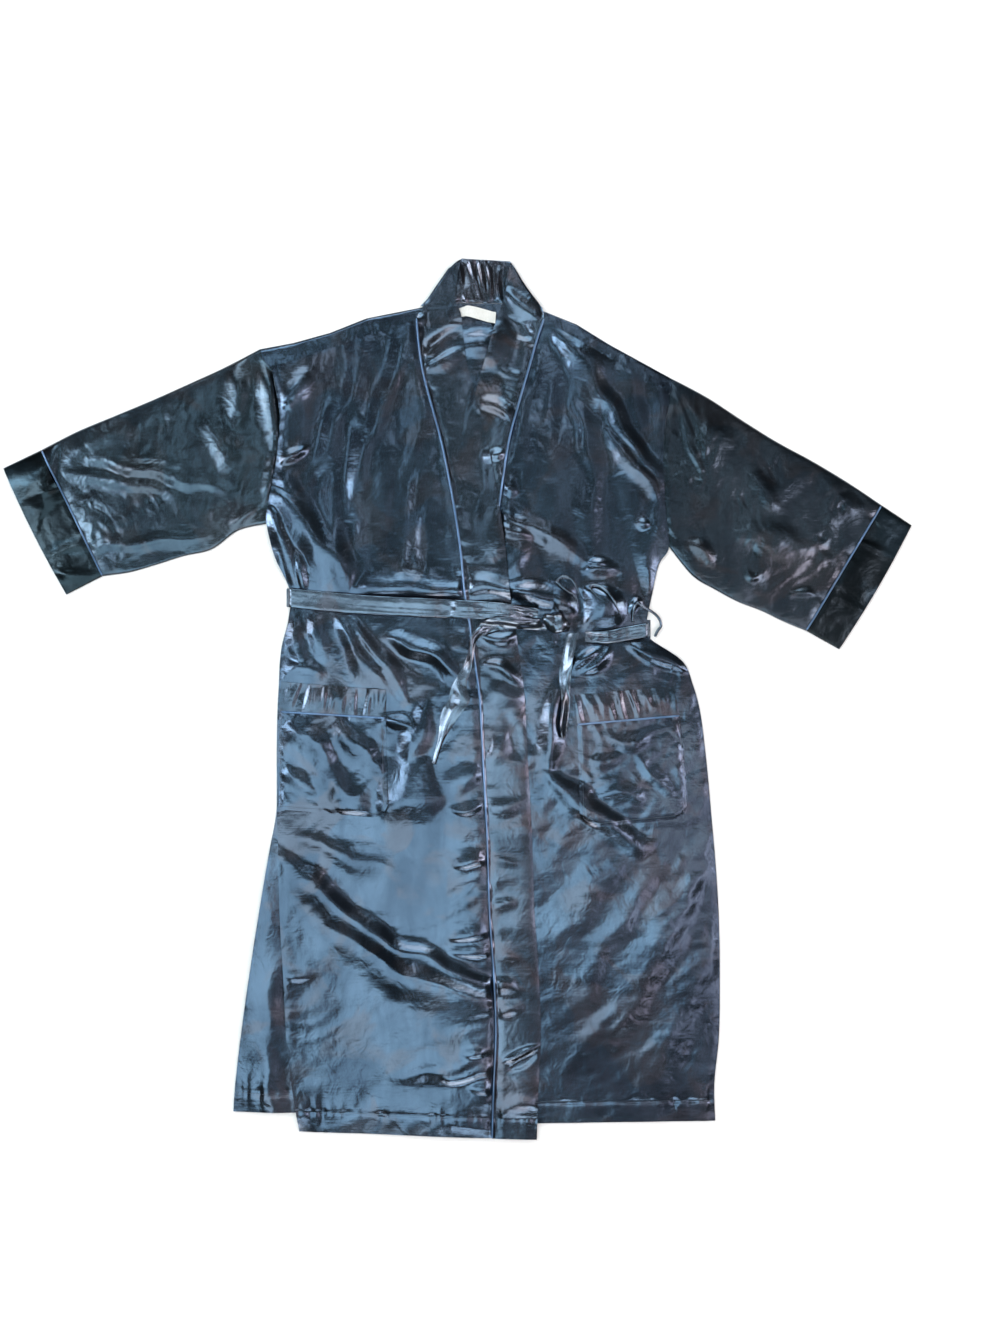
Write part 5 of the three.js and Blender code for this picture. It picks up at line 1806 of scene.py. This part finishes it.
@dataclass
class Belt:
    """The tied belt: its two runs over the fronts, knot, free ends and the side loop."""

    tailor: Tailor
    width: float = 24.0
    side_width: float = 17.0
    loop_width: float = 3.6

    KNOT_PLACE = (128.0, 98.0)
    KNOT_HALF = (19.0, 12.5, 7.0)
    KNOT_TURN = -0.42
    LOOP = (
        (228, 98), (228, 112), (233, 124), (241, 119), (250, 114), (258, 108), (263, 101),
        (264, 94), (260, 88), (256, 80),
    )

    def tail(self, name: str, table: Sequence[TailSection], seed: int) -> None:
        """Lays a free end, its edges lifted as it turns over.

        Args:
            name: The piece's name.
            table: Its sections, from the knot to the tip.
            seed: Seed of its creases.
        """
        left = Curve([s.left for s in table])
        right = Curve([s.right for s in table])
        lifts = Curve([(s.lift_left, s.lift_right) for s in table])
        rows = left.even_rows(0, len(table) - 1, 1.6)
        u = np.linspace(0, 1, 15)
        places = _between(left.at(rows), right.at(rows), u)
        x, y = places[..., 0], places[..., 1]
        lift = lifts.at(rows)
        tilt = lift[:, :1] + (lift[:, 1:] - lift[:, :1]) * _ease(u)[None, :]
        crease = Noise(seed).at(u[None, :] * 2.5, rows[:, None] * 0.9) * 1.1
        arch = np.sin(np.pi * u)[None, :]
        under = self.tailor.rest(x, y, 5, Tailor.DOUBLE)
        z = under + 0.3 + np.maximum(tilt, 0) + arch + np.maximum(crease, -0.3)
        on = ["front_right"] if table is TAIL_RIGHT else ["front_left"]
        sheet = Sheet(x, y, z)
        self.tailor.cloth(name, sheet, Finish.SATIN_BELT_AND_EDGE_HIGHLIGHT, "satin", on, Tailor.DOUBLE)

    def run(self, side: Side) -> None:
        """Lays a run over a front, gathered lengthwise towards the knot.

        Args:
            side: Whose front it crosses. It turns down past that side's seam.
        """
        line = BELT_RIGHT_LINE if side is Side.RIGHT else BELT_LEFT_LINE
        curve = Curve(line)
        rows = curve.even_rows(0, len(line) - 1, 2.2)
        path = curve.at(rows)
        wide = self.width if side is Side.RIGHT else self.side_width
        step = np.gradient(path, axis=0)
        step = step / np.linalg.norm(step, axis=1, keepdims=True)
        square = np.stack([-step[:, 1], step[:, 0]], axis=-1)
        v = np.linspace(-0.5, 0.5, 20)
        toward = rows / rows[-1] if side is Side.RIGHT else 1 - rows / rows[-1]
        narrow = 1 - 0.25 * toward**3 + 0.03 * Noise(181).at(rows * 3, 5.0)
        places = path[:, None] + square[:, None] * (v[None, :, None] * wide * narrow[:, None, None])
        x, y = places[..., 0], places[..., 1]
        noise = Noise(183 + side.value)
        gather = noise.at(v[None, :] * 5 + rows[:, None] * 0.35, rows[:, None] * 1.2)
        cross = 0.45 - 1.5 * np.abs(Noise(187).at(x / 13, v[None, :] * 1.4))
        arch = _arch(2 * v, 4)[None, :]
        under = self.tailor.rest(x, y, 12, Tailor.DOUBLE)
        under = under.max(axis=1, keepdims=True) * 0.7 + under * 0.3
        strength = (0.12 + 1.1 * toward**2)[:, None]
        z = under + 0.1 + arch * (0.7 + np.maximum(gather * 1.3 + cross * 0.9, -0.4) * strength)
        if side is Side.LEFT:
            z = z + 0.12 * np.clip(x - 222, 0, 24)
        out = np.clip((np.abs(x) - np.abs(path[0 if side is Side.RIGHT else -1, 0]) + 5) / 5, 0, 1)
        z = z - (z - 2.0) * out**3
        on = ["front_right"] if side is Side.RIGHT else ["front_left"]
        name = f"belt_front_{side.word}"
        sheet = Sheet(x, y, z)
        self.tailor.cloth(name, sheet, Finish.SATIN_BELT_AND_EDGE_HIGHLIGHT, "satin", on, Tailor.DOUBLE)

    def knot(self) -> None:
        """Makes the knot: a lumpy bean whose turns show as grooves round it.

        With a the angle along it and b the angle round it, its radius is
        1 + (0.13 cos(4 a + 2.2 sin b) + a little noise) sin a, times its half sizes.
        """
        along = np.linspace(0.02, np.pi - 0.02, 60)[:, None]
        around = np.linspace(0, 2 * np.pi, 72, endpoint=False)[None, :]
        lumps = 0.13 * np.cos(4 * along + 2.2 * np.sin(around))
        lumps = lumps + 0.07 * Noise(191).at(along * 2.4, np.cos(around) * 1.5 + 3)
        radius = 1 + lumps * np.sin(along)
        half_long, half_wide, half_high = self.KNOT_HALF
        px = half_long * np.cos(along) * radius
        py = half_wide * np.sin(along) * np.cos(around) * radius
        pz = half_high * np.sin(along) * np.sin(around) * radius
        c, s = np.cos(self.KNOT_TURN), np.sin(self.KNOT_TURN)
        mid_x, mid_y = self.KNOT_PLACE
        x = mid_x + px * c - py * s
        y = mid_y + px * s + py * c
        level = float(self.tailor.relief.under(np.array([mid_x]), np.array([mid_y]), 9)[0])
        z = level + 2.5 + pz
        mesh = grid_mesh("belt_knot", Sheet(x, y, z), True)
        self.tailor.piece("belt_knot", mesh, Finish.SATIN_BELT_AND_EDGE_HIGHLIGHT, "satin", ["belt_knot"])

    def loop(self) -> None:
        """Lays the narrow loop that stands out past the side seam."""
        curve = Curve(self.LOOP)
        rows = curve.even_rows(0, len(self.LOOP) - 1, 1.4)
        path = curve.at(rows)
        under = self.tailor.relief.under(path[:, 0], path[:, 1], 3)
        level = _smoothed(np.maximum(under, 1.9), 4)
        bow = 2.5 * np.sin(np.pi * rows / rows[-1])
        line = np.column_stack([path, np.maximum(level, under) + 1.3 + bow])
        sheet = tube_sheet(line, self.loop_width, 2.0)
        mesh = grid_mesh("belt_loop", sheet, True)
        self.tailor.piece("belt_loop", mesh, Finish.SATIN_BELT_AND_EDGE_HIGHLIGHT, "satin", ["belt_loop"])
        self.tailor.relief.lay(sheet.x, sheet.y, sheet.z)

    def build(self) -> None:
        """Lays the belt over the finished robe."""
        self.loop()
        self.run(Side.RIGHT)
        self.run(Side.LEFT)
        self.tail("belt_tail_right", TAIL_RIGHT, 201)
        self.tail("belt_tail_left", TAIL_LEFT, 202)
        self.knot()


# ---- sewing -------------------------------------------------------------------------------


@dataclass
class Stitches:
    """Rows of machine stitches: each a spindle of thread lying along its row."""

    tailor: Tailor
    pitch: float = 3.4
    long: float = 2.4
    thick: float = 0.45

    def run(self, name: str, line: Array) -> None:
        """Sews along a line of places.

        Args:
            name: The piece's name.
            line: Places on the cloth's top, in order.
        """
        along = _running(np.linalg.norm(np.diff(line, axis=0), axis=1))
        at = np.arange(self.pitch, along[-1] - self.pitch, self.pitch)
        middle = np.stack([np.interp(at, along, line[:, k]) for k in range(3)], axis=-1)
        ahead = np.stack([np.interp(at + 0.5, along, line[:, k]) for k in range(3)], axis=-1)
        step = ahead - middle
        step = step / np.maximum(np.linalg.norm(step, axis=1, keepdims=True), 1e-6)
        across = np.stack([-step[:, 1], step[:, 0], 0 * step[:, 0]], axis=-1)
        up = np.array([0, 0, 1.0])
        middle = middle + up * 0.15
        rings = []
        for place, size in ((-0.5, 0.25), (-0.2, 1.0), (0.2, 1.0), (0.5, 0.25)):
            for turn in (0.0, 0.5, 1.0, 1.5):
                out = across * np.cos(np.pi * turn) + up * np.sin(np.pi * turn)
                rings.append(middle + step * self.long * place + out * self.thick / 2 * size)
        points = np.stack(rings, axis=1)
        faces = [(0, 3, 2, 1), (12, 13, 14, 15)]
        for ring in (0, 4, 8):
            for k in range(4):
                after = (k + 1) % 4
                faces.append((ring + k, ring + after, ring + 4 + after, ring + 4 + k))
        start = np.arange(len(at))[:, None, None] * 16
        quads = (start + np.array(faces)[None]).reshape(-1, 4)
        mesh = raw_mesh(name, points.reshape(-1, 3) * MM, quads, None)
        self.tailor.piece(name, mesh, Finish.THREAD, "satin")

    def on_top(self, name: str, line: Array) -> None:
        """Sews along places given in plan, on the top of what is laid there."""
        level = self.tailor.relief.under(line[:, 0], line[:, 1], 1.0)
        self.run(name, np.column_stack([line, level]))


# ---- studio -------------------------------------------------------------------------------


@dataclass(frozen=True)
class Panel:
    """A soft panel of light: places and sizes in metres, and how bright its face is."""

    name: str
    place: tuple[float, float, float]
    aim: tuple[float, float, float]
    size: Point
    level: float
    tint: Colour


NEUTRAL = (1.0, 0.98, 0.96)
COOL = (0.86, 0.95, 1.0)
BLUE = (0.72, 0.92, 1.0)
TEAL = (0.7, 1.0, 0.98)
MAUVE = (1.0, 0.86, 0.9)
WARM = (1.0, 0.9, 0.84)
SKY = (0.8, 0.92, 1.0)

PANELS = (
    Panel("sky", (-0.7, -0.68, 2.6), (-0.7, -0.68, 0), (1.3, 1.36), 3.2, BLUE),
    Panel("sky_upper", (0.06, -0.3, 2.62), (0.06, -0.3, 0), (0.24, 0.8), 3.4, BLUE),
    Panel("sky_head", (-0.3, 1.95, 2.4), (-0.2, 0.6, 0), (1.8, 0.8), 4.6, BLUE),
    Panel("chest", (-0.3, 0.6, 2.7), (-0.3, 0.6, 0), (0.8, 0.9), 0.13, TEAL),
    Panel("seam", (-0.6, 0.72, 2.6), (-0.6, 0.72, 0), (0.12, 0.5), 4.5, BLUE),
    Panel("neck", (0.12, 0.98, 2.6), (0.12, 0.98, 0), (0.16, 0.36), 5.0, COOL),
    Panel("chest_left", (0.5, 0.55, 2.6), (0.5, 0.55, 0), (0.1, 0.5), 2.0, COOL),
    Panel("skirt", (0.6, -0.75, 2.7), (0.6, -0.75, 0), (0.8, 1.1), 0.3, MAUVE),
    Panel("hip", (0.42, -0.28, 2.6), (0.42, -0.28, 0), (0.5, 0.42), 1.4, WARM),
    Panel("skirt_right", (0.98, -0.7, 2.6), (0.98, -0.7, 0), (0.22, 0.9), 3.4, MAUVE),
    Panel("sleeve_left", (1.0, 0.55, 2.65), (1.0, 0.55, 0), (0.8, 0.9), 0.26, COOL),
    Panel("window_left", (-1.8, 0.35, 2.3), (-0.1, 0.1, 0), (0.5, 1.4), 9, SKY),
    Panel("window_right", (1.85, -0.1, 2.3), (0.1, 0, 0), (0.5, 1.7), 6.5, MAUVE),
    Panel("strip_foot", (0.3, -1.95, 2.3), (0, 0, 0), (1.4, 0.3), 6, COOL),
    Panel("key_left", (-2.9, 0.6, 2.0), (0, 0, 0), (1.0, 1.8), 7, NEUTRAL),
    Panel("key_right", (3.0, 0.4, 2.0), (0, 0, 0), (1.0, 1.8), 7, WARM),
    Panel("key_head", (0.1, 3.1, 2.1), (0, 0, 0), (2.0, 0.9), 7, NEUTRAL),
    Panel("key_foot", (0.1, -3.0, 2.0), (0, 0, 0), (2.0, 0.9), 7, WARM),
)


@dataclass
class Studio:
    """The table, the lights and the camera straight above."""

    middle: Point = (55.25, 41.6)
    away: float = 2407.0
    lens: float = 50.0
    half_table: float = 6000.0
    room: Colour = (0.85, 0.93, 1.0)
    room_level: float = 0.025

    def table(self) -> None:
        """Makes the pale table top."""
        span = np.linspace(-self.half_table, self.half_table, 3)
        x, y = np.meshgrid(span, span)
        mesh = grid_mesh("table", Sheet(x, y, 0 * x))
        made = bpy.data.objects.new("table", mesh)
        bpy.context.scene.collection.objects.link(made)
        mesh.materials.append(FloorFinish().material())
        made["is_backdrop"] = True

    def camera(self) -> None:
        """Sets the camera over the table, looking straight down with +Y up."""
        data = bpy.data.cameras.new("camera")
        data.lens = self.lens
        made = bpy.data.objects.new("camera", data)
        made.location = (self.middle[0] * MM, self.middle[1] * MM, self.away * MM)
        bpy.context.scene.collection.objects.link(made)
        bpy.context.scene.camera = made

    def panel(self, panel: Panel) -> None:
        """Hangs a soft panel of light. Its power is its brightness times its area times pi.

        Args:
            panel: The panel.
        """
        data = bpy.data.lights.new(panel.name, "AREA")
        data.shape = "RECTANGLE"
        data.size, data.size_y = panel.size
        data.energy = panel.level * np.pi * panel.size[0] * panel.size[1]
        data.color = panel.tint
        made = bpy.data.objects.new(panel.name, data)
        made.location = panel.place
        made.visible_camera = False
        toward = Vector(panel.aim) - Vector(panel.place)
        made.rotation_euler = toward.to_track_quat("-Z", "Y").to_euler()
        bpy.context.scene.collection.objects.link(made)

    def build(self) -> None:
        """Sets the whole studio."""
        self.table()
        self.camera()
        for panel in PANELS:
            self.panel(panel)
        world = bpy.data.worlds.new("room")
        world.use_nodes = True
        background = world.node_tree.nodes["Background"]
        background.inputs[0].default_value = _rgba(self.room)
        background.inputs[1].default_value = self.room_level
        bpy.context.scene.world = world
        bpy.context.scene.view_settings.view_transform = "Standard"


# ---- the whole robe -----------------------------------------------------------------------


def sew_hems(tailor: Tailor, cut: Cut, depth: float) -> None:
    """Sews the rows of stitches along the hems.

    Args:
        tailor: Keeps the relief.
        cut: The body's curves.
        depth: Height of the row above the hem.
    """
    runs = {
        "stitch_hem_right": (cut.vent.points[-1], cut.over.points[-1]),
        "stitch_hem_left": (cut.under.points[-1] + [74, 4], cut.seam_left.points[-1]),
        "stitch_hem_back": (cut.seam_right.points[-1], cut.vent.points[-1] + [-4, 20]),
    }
    for name, (a, b) in runs.items():
        inset = (b - a) * 2.0 / np.linalg.norm(b - a)
        share = np.linspace(0, 1, 160)[:, None]
        line = (a + inset) + (b - a - 2 * inset) * share + [0, depth]
        Stitches(tailor).on_top(name, line)


def dress_hidden(frame: dict[str, Any]) -> None:
    """Gives the belt's run under the back, which stays the solid, its satin.

    Args:
        frame: What the frame's loader gave.
    """
    node = frame["nodes"]["belt_back"]
    node.data.materials.clear()
    node.data.materials.append(Finish.SATIN_BELT_AND_EDGE_HIGHLIGHT.material())


def main() -> None:
    """Builds the robe on its frame, from the lowest cloth to the belt."""
    logging.basicConfig(level=logging.INFO, format="%(name)s %(message)s")
    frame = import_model()
    cad_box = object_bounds()
    Studio().build()
    dress_hidden(frame)
    tailor = Tailor()
    body = Body(tailor)
    body.back()
    body.shoulders()
    neck = Neck(tailor)
    neck.collar()
    for side in Side:
        Sleeve(tailor, body.cut, side).build()
    body.build(Side.LEFT)
    body.pleat_edges()
    Pocket(tailor, body.cut, Side.LEFT).build()
    neck.label()
    body.build(Side.RIGHT)
    Pocket(tailor, body.cut, Side.RIGHT).build()
    sew_hems(tailor, body.cut, body.hem_depth)
    Belt(tailor).build()
    boxes = {"cad": cad_box, "visual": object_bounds()}
    {key: [list(corner) for corner in box] for key, box in boxes.items()}


if __name__ == "__main__":
    main()
